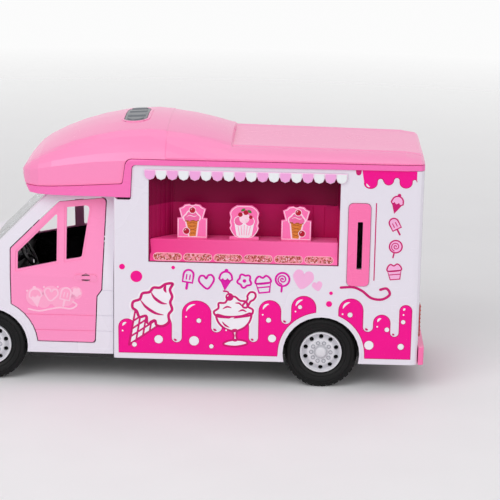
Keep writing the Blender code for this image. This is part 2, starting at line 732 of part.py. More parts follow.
def make_body():
    """The white body shell: four walls with the serving window and the rear wheel arches."""
    front = AXLE_X + CAB_LENGTH + SEAM
    half = BODY_HALF
    corners = ((front, -half, 0.0008), (REAR_FACE_X, -half), (REAR_FACE_X, half), (front, half, 0.0008))
    blank = plate(rounded(corners, 0.004), SILL_Z - WALL, BODY_TOP + PAST, PLAN)
    body = piece("body_shell", blank, "white_plastic")
    for side in (-1, 1):
        join(body, sill_strip(side, CAB_LENGTH + SEAM + 0.0010, WHEELBASE - ARCH_R, half, SILL_Z))
        join(body, sill_strip(side, WHEELBASE + ARCH_R, BODY_REAR - 0.0045, half, SILL_Z))
        join(body, arch_lip(side, WHEELBASE, half))
    cut(body, plate(rounded(grown(corners, -WALL), 0.002), 0, BODY_TOP + PAST * 2, PLAN))
    keep(body, side_plate(lower_seam(SILL_Z, -GAP), -half - PAST, half + PAST))
    for side in (-1, 1):
        cut(body, wheel_arch(side, REAR_AXLE_X))
    (x0, x1), (z0, z1) = NICHE_X, NICHE_Z
    low, high = side_range(-1, half, NICHE_DEPTH / 2)
    cut(body, side_plate(((x0, z0), (x1, z0), (x1, z1), (x0, z1)), low, high, 0.0004))
    room = half - WALL
    cut(body, box((front - WALL, -room, 0), (front + WALL + GAP, room, FLOOR_Z + FLOOR_T + GAP)))
    for side in (-1, 1):
        cut(body, plate(tail_lamp_outline(side, GAP), REAR_FACE_X - LAMP_SINK, REAR_FACE_X + PAST, FRONT))
    return body


def niche_hollow(ribs=0):
    """The recess in plan: a slanted front wall, with grooves where asked, a back wall and a rear wall."""
    x0, x1 = NICHE_X[0] + AXLE_X + NICHE_LIP, NICHE_X[1] + AXLE_X - NICHE_LIP
    front = -BODY_HALF + WALL + GAP
    back = -BODY_HALF + NICHE_DEPTH
    outline = [(x1, front), (x1 - NICHE_LIP, back), (x0 + NICHE_SLANT, back)]
    way = Vector((x0 - outline[-1][0], front - back))
    away = Vector((way.y, -way.x)).normalized() * GROOVE_DEEP
    for k in range(ribs):
        edges = [outline[2][0] + way.x * t for t in ((k + 0.35) / ribs, (k + 0.65) / ribs)]
        for i, x in enumerate(edges):
            y = back + way.y * (x - outline[2][0]) / way.x
            pair = [(x, y), (x + away.x, y + away.y)]
            outline += pair if i == 0 else pair[::-1]
    return outline + [(x0, front), (x0, front - PAST), (x1, front - PAST)]


def make_niche():
    """The recess behind the serving window, one shell with a slanted wall at its front end."""
    (x0, x1), (z0, z1) = NICHE_X, NICHE_Z
    x0, x1 = x0 + AXLE_X, x1 + AXLE_X
    front = -BODY_HALF + WALL + GAP
    back = -BODY_HALF + NICHE_DEPTH
    t = NICHE_WALL
    rim = 0.003
    outer = [(x0 - rim, front), (x1 + rim, front), (x1 + rim, front + t), (x1 + t, front + t), (x1, back + t),
             (x0 + NICHE_SLANT - t, back + t), (x0 - t, front + t), (x0 - rim, front + t)]
    niche = piece("niche_interior", plate(outer, z0 - rim, z1 + 0.0022, PLAN), "magenta_plastic")
    cut(niche, plate(niche_hollow(NICHE_RIBS), z0 + 0.0004, z1 - 0.0006, PLAN))
    left, right = x0 + NICHE_SLANT + 0.0010, x1 - 0.0020
    cut(niche, box((left, front, NICHE_STEP_Z), (right, back + NICHE_STEP, z1 - 0.0010)))
    for x in (x1 - 0.0175, x1 - 0.0097):
        cut(niche, box((x - GROOVE_W / 2, front, COUNTER_TOP + 0.0010), (x + GROOVE_W / 2, back + GROOVE_DEEP,
                                                                        NICHE_STEP_Z - 0.0010)))
    return niche


def make_counter():
    """The counter in the window, its foot sloping down to the sill, with a slot for each card."""
    (x0, x1), z0 = NICHE_X, NICHE_Z[0]
    back = -BODY_HALF + NICHE_DEPTH - GAP
    base = z0 + 0.0004 + GAP
    profile = ((-BODY_HALF + 0.0004, base, 0), (back, base, 0), (back, COUNTER_TOP, 0),
               (-BODY_HALF + 0.0022, COUNTER_TOP, 0.0010), (-BODY_HALF + 0.0028, COUNTER_BREAK, 0))
    counter = piece("counter", plate(rounded(profile, 0), x0 + AXLE_X, x1 + AXLE_X, FRONT), "hot_pink_plastic")
    keep(counter, plate(grown(niche_hollow(), -GAP), z0 - PAST, COUNTER_TOP + PAST, PLAN))
    slot = CARD_TAB + 0.0005
    for x in SIGN_X:
        cut(counter, box((x + AXLE_X - slot, -SIGN_Y - SIGN_T / 2 - GAP, COUNTER_TOP - CARD_SINK - GAP),
                         (x + AXLE_X + slot, -SIGN_Y + SIGN_T / 2 + GAP, COUNTER_TOP + PAST)))
    return counter


# half outlines of the display cards as distance from the middle and height over the counter
CARD_FAN = (
    (0.0098, 0.0000), (0.0098, 0.0133), (0.0073, 0.0136), (0.0089, 0.0197), (0.0064, 0.0209), (0.0052, 0.0223),
    (0.0020, 0.0228), (0.0010, 0.0221),
)
CARD_CUP = (
    (0.0096, 0.0000), (0.0096, 0.0015), (0.0055, 0.0020), (0.0082, 0.0043), (0.0097, 0.0074), (0.0090, 0.0089),
    (0.0097, 0.0112), (0.0091, 0.0141), (0.0098, 0.0177), (0.0083, 0.0203), (0.0050, 0.0226),
)


def make_signs():
    """Three display cards standing in the counter's slots."""
    cards = (("sign_front", CARD_FAN), ("sign_middle", CARD_CUP), ("sign_rear", CARD_FAN))
    for (name, half), x in zip(cards, SIGN_X):
        foot = COUNTER_TOP + GAP
        right = [(x + u, foot + v) for u, v in half]
        left = [(x - u, foot + v) for u, v in reversed(half)]
        tab = [(x - CARD_TAB, foot - CARD_SINK), (x + CARD_TAB, foot - CARD_SINK)]
        mesh = side_plate(tab + right + left, -SIGN_Y - SIGN_T / 2, -SIGN_Y + SIGN_T / 2)
        piece(name, mesh, "card")


def make_awning():
    """The scalloped strip over the serving window."""
    x0, x1 = AWNING_X
    pitch = (x1 - x0) / SCALLOPS
    drop = pitch / 2
    points = [(x0, AWNING_Z[1])]
    for k in range(SCALLOPS):
        centre = x0 + pitch * (k + 0.5)
        points += arc_points((centre, AWNING_Z[0] + drop), drop, 180, 315, 3)
    points += [(x1, AWNING_Z[0] + drop), (x1, AWNING_Z[1])]
    mesh = side_plate(points, -BODY_HALF - TRIM_PROUD, -BODY_HALF - GAP)
    return piece("awning", mesh, "awning_plastic")


# the roof over the cab: station from the step of the trim, then as shares of the dome's rise over
# the trim's lower edge the heights of the bottom, knee, crease and crown; how far the base and the
# crease lie inside the body's side
DOME = (
    (-0.0730, 0.204, 0.237, 0.270, 0.303, 0.0230, 0.0240),
    (-0.0710, 0.127, 0.270, 0.336, 0.376, 0.0160, 0.0200),
    (-0.0665, 0.000, 0.314, 0.423, 0.495, 0.0090, 0.0160),
    (-0.0605, 0.000, 0.357, 0.511, 0.592, 0.0040, 0.0145),
    (-0.0515, 0.000, 0.401, 0.610, 0.694, 0.0015, 0.0140),
    (-0.0395, 0.000, 0.445, 0.719, 0.803, 0.0004, 0.0140),
    (-0.0245, 0.000, 0.489, 0.818, 0.901, 0.0000, 0.0140),
    (-0.0075, 0.000, 0.511, 0.895, 0.976, 0.0000, 0.0140),
    (0.0115, 0.000, 0.533, 0.923, 1.000, 0.0000, 0.0140),
    (0.0225, 0.000, 0.544, 0.908, 0.988, 0.0000, 0.0140),
)
# the hump behind it: station, heights of the shoulder, crease and crown over the rear roof's edge,
# how far the shoulder and the crease lie inside the body's side
HUMP = (
    (0.0230, 0.0040, 0.0099, 0.0135, 0.0056, 0.0145),
    (0.0385, 0.0026, 0.0079, 0.0115, 0.0072, 0.0150),
    (0.0515, 0.0012, 0.0052, 0.0086, 0.0090, 0.0160),
    (0.0605, 0.0003, 0.0030, 0.0060, 0.0104, 0.0170),
    (0.0645, 0.0000, 0.0022, 0.0048, 0.0110, 0.0175),
    (0.0655, 0.0000, 0.0003, 0.0008, 0.0110, 0.0180),
)
ROOF_CREASE = BODY_HALF - 0.0110
ROOF_FALL = 0.0018


def roof_ring(x, bottom, knee, shoulder, crease, crown):
    """One cross-section of the roof through its named points, each a pair of half width and height."""
    right = [(knee[0], bottom), knee]
    for start, end, bulge in ((knee, shoulder, 0.0005), (shoulder, crease, 0.0005)):
        way = Vector(end) - Vector(start)
        middle = Vector(start) + way * 0.5 + Vector((way.y, -way.x)).normalized() * bulge
        right += [tuple(middle), tuple(end)]
    y, z = crease
    right += [(y - 0.0024, z + 0.0006), (y * 0.55, z + (crown - z) * 0.70), (0, crown)]
    left = [(-a, b) for a, b in reversed(right[:-1])]
    return [(x + AXLE_X, a, b) for a, b in right + left]


def roof_rows():
    """The named points of every cross-section of the roof, from the nose to the tail."""
    rows = []
    for x, low, knee, crease, crown, base_in, crease_in in DOME:
        low, knee, crease, crown = (TRIM_BOTTOM + DOME_RISE * share for share in (low, knee, crease, crown))
        base, half = BODY_HALF - base_in, BODY_HALF - crease_in
        shoulder = ((base + half) / 2 + 0.0010, (knee + crease) / 2 + 0.0012)
        rows.append((STEP_X + x, low - GAP, (base, knee), shoulder, (half, crease), crown))
    edge = ROOF_EDGE
    knee_z = TRIM_TOP + 0.0015
    for x, shoulder, crease, crown, shoulder_in, crease_in in HUMP:
        rows.append((STEP_X + x, TRIM_BOTTOM - GAP, (BODY_HALF, knee_z),
                     (BODY_HALF - shoulder_in, edge + shoulder), (BODY_HALF - crease_in, edge + crease),
                     edge + crown))
    tail = ((0.0120, 0.0, ROOF_FALL), (0.0020, 0.0015, ROOF_FALL + 0.0016), (0.0, 0.0040, 0.0050))
    for back, inset, drop in tail:
        rows.append((BODY_REAR - back, TRIM_BOTTOM - GAP, (BODY_HALF - inset, knee_z - drop / 4),
                     (ROOF_CREASE - inset, edge - drop),
                     (ROOF_CREASE - inset - 0.0070, edge - drop + 0.0003), edge - drop + 0.0008))
    return rows


def roof_solid(inset=0, proud=0, floor=None):
    """The roof's outer form from the nose to the tail, or that form drawn in or out."""
    rings = []
    rows = roof_rows()
    for i, (x, bottom, knee, shoulder, crease, crown) in enumerate(rows):
        shift = inset if i < 3 else (-inset if i > len(rows) - 3 else 0)
        base = bottom if floor is None else max(floor, bottom + inset)
        rings.append(roof_ring(
            x + shift, base, (knee[0] - inset + proud, knee[1] - inset * 0.4),
            (shoulder[0] - inset * 0.7, shoulder[1] - inset * 0.7),
            (crease[0] - inset * 0.4, crease[1] - inset), crown - inset))
    return loft(rings, "roof")


def upper_seam(shift):
    """The line where the roof meets its trim, closed above."""
    top = DOME_TOP + PAST
    return [
        (-PAST * 5, top), (-PAST * 5, TRIM_BOTTOM - 0.0037 + shift),
        (STEP_X - TRIM_BAND - shift, TRIM_BOTTOM + 0.0085 + shift, 0.0015),
        (STEP_X - TRIM_BAND + 0.0023 - shift, TRIM_TOP + shift, 0.0040), (BODY_REAR + PAST, TRIM_TOP + shift),
        (BODY_REAR + PAST, top),
    ]


def make_roof():
    """The roof with its domed overcab, and the trim band with the pan under the overcab."""
    reach = BODY_HALF + PAST
    roof = piece("roof", roof_solid(), "pink_plastic")
    rim = plate(button_outline(GAP + BUTTON_RIM), DOME_TOP - ROOF_WALL * 2, DOME_TOP + PAST, PLAN)
    join(roof, combined(rim, roof_solid(-BUTTON_RIM_PROUD), "INTERSECT"))
    cut(roof, roof_solid(ROOF_WALL, 0, 0))
    keep(roof, side_plate(upper_seam(GAP / 2), -reach, reach))
    cut(roof, plate(button_outline(GAP), TRIM_TOP, DOME_TOP + PAST, PLAN))

    trim = piece("roof_trim", roof_solid(0, TRIM_PROUD), "hot_pink_plastic")
    cut(trim, roof_solid(ROOF_WALL, 0, PAN_TOP))
    cut(trim, side_plate(upper_seam(-GAP / 2), -reach, reach), side_plate(lower_seam(0, 0), -reach, reach))


def button_outline(growth):
    """The oval of the sound button, seen from above."""
    half_x, half_y = BUTTON_SIZE[0] / 2 + growth, BUTTON_SIZE[1] / 2 + growth
    end = half_y - half_x
    right = arc_points((BUTTON_X + AXLE_X, end), half_x, 0, 180, 8)
    left = arc_points((BUTTON_X + AXLE_X, -end), half_x, 180, 360, 8)
    return right + left


def make_button():
    """The oval sound button, arched with the roof, and its raised bars."""
    low = DOME_TOP - ROOF_WALL * 2
    high = DOME_TOP + PAST
    body = combined(plate(button_outline(0), low, high, PLAN), roof_solid(-BUTTON_PROUD), "INTERSECT")
    button = piece("sound_button", body, "silver_plastic")
    bar_top = roof_solid(-BUTTON_PROUD - BAR_PROUD)
    half = BUTTON_SIZE[0] / 2
    for k in range(BUTTON_RIBS):
        y = BUTTON_PITCH * (k - (BUTTON_RIBS - 1) / 2)
        bar = box((BUTTON_X + AXLE_X - half, y - BUTTON_RIB_W / 2, low - ROOF_WALL),
                  (BUTTON_X + AXLE_X + half, y + BUTTON_RIB_W / 2, high))
        bar = combined(plate(button_outline(-BAR_IN), low + 0.0010, high, PLAN), bar, "INTERSECT")
        join(button, combined(bar, bar_top, "INTERSECT"))


def make_chassis():
    """The floor pan with its four wheel boxes, whose inner walls carry the axles."""
    inner = CAB_HALF - CAB_SKIN - GAP
    outline = [(x + AXLE_X + 0.0040, half - CAB_SKIN - 0.0012) for x, half, _top, _crown in CAB_SECTIONS[:6]]
    outline += [(AXLE_X + CAB_LENGTH, inner), (REAR_FACE_X - WALL - GAP, inner)]
    outline += [(x, -y) for x, y in reversed(outline)]
    chassis = piece("chassis", plate(outline, FLOOR_Z, FLOOR_Z + FLOOR_T, PLAN), "black_plastic")
    wall_y = WHEEL_OUT - TYRE_W - WHEEL_GAP
    for x, reach in ((0, inner), (WHEELBASE, BODY_HALF - WALL - GAP)):
        for side in (-1, 1):
            low, high = mirror_y(side, wall_y - ARCH_WALL, reach)
            join(chassis, side_plate(wheel_box(x, TYRE_R + WHEEL_GAP + ARCH_WALL, FLOOR_Z), low, high))
            low, high = mirror_y(side, wall_y, BODY_HALF + PAST)
            cut(chassis, side_plate(wheel_box(x, TYRE_R + WHEEL_GAP, 0), low, high))
        ends = (-wall_y - 0.005, wall_y + 0.005)
        cut(chassis, rod(AXLE_R + AXLE_GAP, (x + AXLE_X, ends[0], TYRE_R), (x + AXLE_X, ends[1], TYRE_R), 16))
    (x0, x1), half = BATTERY_X, BATTERY_HALF
    cut(chassis, box((x0 + AXLE_X - GAP, -half - GAP, 0), (x1 + AXLE_X + GAP, half + GAP, FLOOR_Z + BATTERY_T)))
    for x in (x0 - 0.0120, x1 + 0.0120):
        for y in (-half, half):
            cut(chassis, rod(SCREW_WELL_R, (x + AXLE_X, y, 0), (x + AXLE_X, y, FLOOR_Z + SCREW_WELL_DEEP), 12))
    for k in range(SPEAKER_SLOTS):
        y = SPEAKER_PITCH * (k - (SPEAKER_SLOTS - 1) / 2)
        slot = box((x0 + AXLE_X - 0.0320, y - 0.0005, 0), (x0 + AXLE_X - 0.0200, y + 0.0005, FLOOR_Z + PAST))
        cut(chassis, slot)
    cover = [(x0 + AXLE_X, -half), (x1 + AXLE_X, -half), (x1 + AXLE_X, half), (x0 + AXLE_X, half)]
    lid = plate(rounded(cover, 0.002), FLOOR_Z - 0.0004, FLOOR_Z + BATTERY_T - GAP, PLAN)
    lid = piece("battery_cover", lid, "black_plastic")
    for k in range(LID_GRIPS):
        x = x0 + AXLE_X + 0.0050 + 0.0022 * k
        cut(lid, box((x, -0.0080, 0), (x + 0.0010, 0.0080, FLOOR_Z + 0.0003)))


def wheel_box(x, radius, bottom):
    """A wheel box from the side: a half circle over the wheel with upright legs."""
    return [(x + radius, bottom), *arc_points((x, TYRE_R), radius, 0, 180, 10), (x - radius, bottom)]


def make_cab_inside():
    """Floor, bulkhead, seat bench, dashboard and steering wheel."""
    room = cab_solid(CAB_SKIN + 0.0008, 0, 0)
    floor = FLOOR_Z + FLOOR_T + GAP
    back = AXLE_X + CAB_LENGTH - 0.0004
    start = AXLE_X + TYRE_R + WHEEL_GAP + ARCH_WALL + GAP
    wide = BODY_HALF + PAST
    tub = piece("cab_tub", box((start, -wide, floor), (back, wide, floor + TUB_T)), "black_plastic")
    join(tub, box((back - TUB_T, -wide, floor), (back, wide, CAB_ROOF_Z + PAST)))
    keep(tub, room)
    low, x1 = floor + TUB_T + GAP, SEAT_BACK_X
    seat = [(x1 - 0.0297, low), (x1 - 0.0002, low), (x1, SEAT_Z[1] - 0.0010, 0.003),
            (x1 - 0.0067, SEAT_Z[1], 0.003), (x1 - 0.0107, SEAT_Z[0] + 0.0020, 0.002),
            (x1 - 0.0297, SEAT_Z[0], 0.003)]
    bench = piece("seat_bench", side_plate(seat, -SEAT_HALF, SEAT_HALF), "black_plastic")
    cut(bench, box((AXLE_X, -SEAT_GROOVE, SEAT_Z[0] - 0.0015),
                   (AXLE_X + x1 - 0.0080, SEAT_GROOVE, SEAT_Z[1] + PAST)))
    dash = [(DASH_X[0], DASH_Z[0]), (DASH_X[1], DASH_Z[0], 0.002), (*DASH_LIP, 0.001), (*DASH_TOP, 0.001),
            (DASH_X[0], DASH_Z[1])]
    keep(piece("dashboard", side_plate(dash, -wide, wide), "black_plastic"), room)

    face = Vector((DASH_TOP[0] - DASH_LIP[0], 0, DASH_TOP[1] - DASH_LIP[1]))
    axis = Vector((face.z, 0, -face.x)).normalized()
    seat_point = Vector((AXLE_X + (DASH_LIP[0] + DASH_TOP[0]) / 2, STEER_Y, (DASH_LIP[1] + DASH_TOP[1]) / 2))
    hub = seat_point + axis * (STEER_COLUMN + GAP)
    tilt = Matrix.Rotation(math.atan2(axis.x, axis.z), 4, "Y")
    ring = turned([(STEER_R + STEER_TUBE * math.cos(math.tau * k / 6), STEER_TUBE * math.sin(math.tau * k / 6))
                   for k in range(6)], (0, 0, 0), 22)
    ring.transform(Matrix.Rotation(math.radians(90), 4, "X"))
    ring.transform(Matrix.Translation(hub) @ tilt)
    wheel = piece("steering_wheel", ring, "black_plastic")
    for angle in (30, 150, 270):
        a = math.radians(angle)
        tip = tilt @ Vector((STEER_R * math.cos(a), STEER_R * math.sin(a), 0))
        join(wheel, rod(STEER_TUBE * 0.7, hub, hub + tip, 8))
    join(wheel, rod(STEER_TUBE * 2, hub - axis * STEER_COLUMN, hub + axis * STEER_TUBE * 0.5, 14))


def make_wheels():
    """Two rail axles, each with two rims and two tyres, all turning together."""
    for station, row in ((0, "front"), (WHEELBASE, "rear")):
        centre = (station + AXLE_X, 0, TYRE_R)
        reach = WHEEL_OUT - RIM_DEPTH - GAP
        piece(row + "_axle", rod(AXLE_R, (0, -reach, 0), (0, reach, 0), 16), "steel", centre)
        for side, name in ((-1, "left"), (1, "right")):
            end = "_%s_%s" % (row, name)
            piece("tyre" + end, turned(tyre_profile(side), (0, 0, 0), 36), "tyre_rubber", centre)
            rim = piece("rim" + end, turned(rim_profile(side), (0, 0, 0), 30), "rim_plastic", centre)
            for k in range(HUB_HOLES):
                a = math.tau * (k / HUB_HOLES + 0.25)
                x, z = centre[0] + HUB_HOLE_CIRCLE * math.cos(a), centre[2] + HUB_HOLE_CIRCLE * math.sin(a)
                low, high = mirror_y(side, WHEEL_OUT - HUB_HOLE_DEEP, WHEEL_OUT + PAST)
                cut(rim, rod(HUB_HOLE_R, (x, low, z), (x, high, z), 8))


def tyre_profile(side):
    """The tyre's section as (radius, y), closed."""
    out, into = WHEEL_OUT, WHEEL_OUT - TYRE_W
    seat = RIM_R + GAP
    half = [(seat, -0.0020), (seat + 0.0024, -0.0004), (TYRE_R - 0.0035, 0), (TYRE_R - 0.0012, -0.0008),
            (TYRE_R, -0.0026)]
    points = [(r, out + y) for r, y in half] + [(r, into - y) for r, y in reversed(half)]
    return [(r, y * side) for r, y in points]


def rim_profile(side):
    """The rim's section as (radius, y): hub cap, flat face, sloping ring and flange round a blind bore."""
    bore = AXLE_R + GAP
    face = -0.0018
    ring = face - 0.0012
    inner = -TYRE_W + 0.0030
    points = [(0, -0.0006), (HUB_CAP_R - 0.0012, -0.0008), (HUB_CAP_R, face), (0.0086, face),
              (0.0124, ring), (0.0129, -0.0008), (RIM_R, -0.0008), (RIM_R, inner), (bore, inner),
              (bore, -RIM_DEPTH), (0, -RIM_DEPTH)]
    return [(r, (WHEEL_OUT + y) * side) for r, y in points]


def make_rear():
    """Rear bumper and tail lamps."""
    half = BODY_HALF - 0.0010
    outline = ((REAR_FACE_X + GAP, -half, 0), (TAIL_X, -half, 0.003), (TAIL_X, half, 0.003),
               (REAR_FACE_X + GAP, half, 0))
    bumper = piece("rear_bumper", plate(rounded(outline, 0), SILL_Z, REAR_BUMPER_TOP, PLAN), "hot_pink_plastic")
    middle = (SILL_Z + REAR_BUMPER_TOP) / 2
    cut(bumper, box((TAIL_X - GROOVE_DEEP, -half - PAST, middle - GROOVE_W),
                    (TAIL_X + PAST, half + PAST, middle)))
    for side, name in ((-1, "left"), (1, "right")):
        piece("tail_lamp_" + name, plate(tail_lamp_outline(side, 0), REAR_FACE_X - LAMP_SINK + GAP,
                                         REAR_FACE_X + LAMP_PROUD, FRONT), "red_lens")


def tail_lamp_outline(side, growth):
    """A tail lamp's outline, seen from behind."""
    outer = BODY_HALF - LAMP_IN
    (z0, z1), inner = LAMP_Z, outer - LAMP_W
    outline = grown(((inner, z0), (outer, z0), (outer, z1), (inner, z1)), growth)
    return rounded(mirrored(outline, side), 0.0015)


def make_vents():
    """The pink slotted panels behind the serving window, one on each side."""
    (x0, x1), (z0, z1) = VENT_X, VENT_Z
    outline = ((x0, z0), (x1, z0), (x1, z1), (x0, z1))
    slot = ((x0 + VENT_RIM, z0 + 0.0112), (x0 + VENT_RIM + VENT_SLOT, z0 + 0.0112),
            (x0 + VENT_RIM + VENT_SLOT, z1 - 0.0122), (x0 + VENT_RIM, z1 - 0.0122))
    body = bpy.data.objects["body_shell"]
    for side, name in ((-1, "left"), (1, "right")):
        low, high = side_range(side, BODY_HALF, VENT_SINK)
        cut(body, side_plate(grown(outline, GAP), low, high, 0.003))
        low, high = mirror_y(side, BODY_HALF - VENT_SINK + GAP, BODY_HALF + VENT_PROUD)
        vent = piece("vent_" + name, side_plate(outline, low, high, 0.003), "pink_plastic")
        low, high = side_range(side, BODY_HALF, WALL * 3)
        cut(vent, side_plate(slot, low, high, 0.0004))
        cut(body, side_plate(slot, low, high, 0.0004))


def smooth_by_angle():
    """A node tree that shades a piece smooth but keeps its edges over an angle sharp."""
    tree = bpy.data.node_groups.new("smooth_by_angle", "GeometryNodeTree")
    tree.interface.new_socket("Geometry", in_out="INPUT", socket_type="NodeSocketGeometry")
    tree.interface.new_socket("Geometry", in_out="OUTPUT", socket_type="NodeSocketGeometry")
    nodes, links = tree.nodes, tree.links
    source, result = nodes.new("NodeGroupInput"), nodes.new("NodeGroupOutput")
    faces, edges = nodes.new("GeometryNodeSetShadeSmooth"), nodes.new("GeometryNodeSetShadeSmooth")
    edges.domain = "EDGE"
    angle, below = nodes.new("GeometryNodeInputMeshEdgeAngle"), nodes.new("ShaderNodeMath")
    below.operation = "LESS_THAN"
    below.inputs[1].default_value = math.radians(SMOOTH_ANGLE)
    links.new(angle.outputs["Unsigned Angle"], below.inputs[0])
    links.new(below.outputs[0], edges.inputs["Shade Smooth"])
    links.new(source.outputs["Geometry"], faces.inputs["Geometry"])
    links.new(faces.outputs["Geometry"], edges.inputs["Geometry"])
    links.new(edges.outputs["Geometry"], result.inputs["Geometry"])
    return tree


def shade(tree):
    """Round surfaces smooth and flat faces flat, on every piece."""
    for obj in PARTS.objects:
        obj.modifiers.new("smooth_by_angle", "NODES").node_group = tree
        obj.modifiers.new("weighted_normals", "WEIGHTED_NORMAL").keep_sharp = True


def set_origin(obj, point):
    """Put an object's origin at a point without moving its form."""
    obj.data.transform(Matrix.Translation(-Vector(point)))
    obj.location = point


def make_all():
    clear_scene()
    make_cab()
    for door, side in zip(make_doors(), (-1, 1)):
        set_origin(door, (AXLE_X + DOOR_FRONT_X + DOOR_HINGE_IN, side * (CAB_HALF - CAB_SKIN / 2), BELT_Z))
    make_cab_inside()
    make_front_bumper()
    make_body()
    make_vents()
    make_rear()
    make_niche()
    make_counter()
    make_signs()
    make_awning()
    make_roof()
    make_button()
    make_chassis()
    make_wheels()
    shade(smooth_by_angle())


make_all()
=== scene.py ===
import json
import logging
import math
import random
from dataclasses import dataclass
from enum import Enum, IntEnum
from typing import Callable, Optional, Sequence, Union

import bmesh
import bpy
from mathutils import Matrix, Vector
from mathutils.geometry import tessellate_polygon


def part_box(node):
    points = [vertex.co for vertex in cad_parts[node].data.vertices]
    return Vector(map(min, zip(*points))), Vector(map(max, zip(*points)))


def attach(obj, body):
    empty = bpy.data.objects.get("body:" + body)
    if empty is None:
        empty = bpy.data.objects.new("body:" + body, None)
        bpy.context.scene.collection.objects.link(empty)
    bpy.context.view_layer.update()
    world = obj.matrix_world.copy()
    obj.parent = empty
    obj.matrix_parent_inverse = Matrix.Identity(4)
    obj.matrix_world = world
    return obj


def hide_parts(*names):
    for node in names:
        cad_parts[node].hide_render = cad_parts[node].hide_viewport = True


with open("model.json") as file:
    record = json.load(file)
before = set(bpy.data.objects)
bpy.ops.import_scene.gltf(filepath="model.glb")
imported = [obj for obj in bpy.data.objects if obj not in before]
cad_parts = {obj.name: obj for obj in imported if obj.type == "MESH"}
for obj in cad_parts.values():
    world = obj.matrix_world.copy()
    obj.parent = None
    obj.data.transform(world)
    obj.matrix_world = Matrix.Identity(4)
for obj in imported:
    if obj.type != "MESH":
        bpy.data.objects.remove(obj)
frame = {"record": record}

LOG = logging.getLogger("ice_cream_truck")
Socket, Node, Tree = bpy.types.NodeSocket, bpy.types.Node, bpy.types.NodeTree
Mesh, Obj, Form = bpy.types.Mesh, bpy.types.Object, bmesh.types.BMesh
Colour = tuple[float, float, float, float]
Point = tuple[float, float]
Path = list[Point]
Line = Sequence[Point]
Triple = Sequence[float]
Value = Union[float, Sequence[float], Socket]

MM = 0.001
UP = (0, 0, 1)
WELD = 2e-6
FLAT_ANGLE = 0.6
SMOOTH_ANGLE = 60
BUMP_DEPTH = 0.00008
DUST_ROUGHNESS = 0.8
PLASTIC_IOR = 1.49
DUST = "CFC8C2"
ROUND = (0, 345, 23)


class Side(Enum):
    """The two sides of the truck, by the sign of Y."""

    SERVING = -1
    CLOSED = 1

    @property
    def word(self) -> str:
        """The side's name in the names of pieces."""
        return "left" if self is Side.SERVING else "right"


class Ply(IntEnum):
    """Layers of a print, from the face outward."""

    HALO = 0
    EDGE = 1
    FLOOD = 2
    PAPER = 3
    INK = 4
    SHINE = 5


@dataclass(frozen=True)
class Layout:
    """Main places of the truck in metres; stations run back from the front axle."""

    front_axle: float = -0.113
    wheelbase: float = 0.220
    cab_half: float = 0.054
    body_half: float = 0.056
    body_rear: float = 0.171
    body_top: float = 0.149
    wheel_out: float = 0.053
    tyre_r: float = 0.024
    card_face: float = 0.0506
    counter_top: float = 0.0995


PLACES = Layout()
REAR_AXLE = PLACES.front_axle + PLACES.wheelbase


def tint(code: str) -> Colour:
    """Return the linear colour of an sRGB hex code."""
    parts = [int(code[i:i + 2], 16) / 255 for i in (0, 2, 4)]
    return (*(c / 12.92 if c <= 0.04045 else ((c + 0.055) / 1.055) ** 2.4 for c in parts), 1.0)


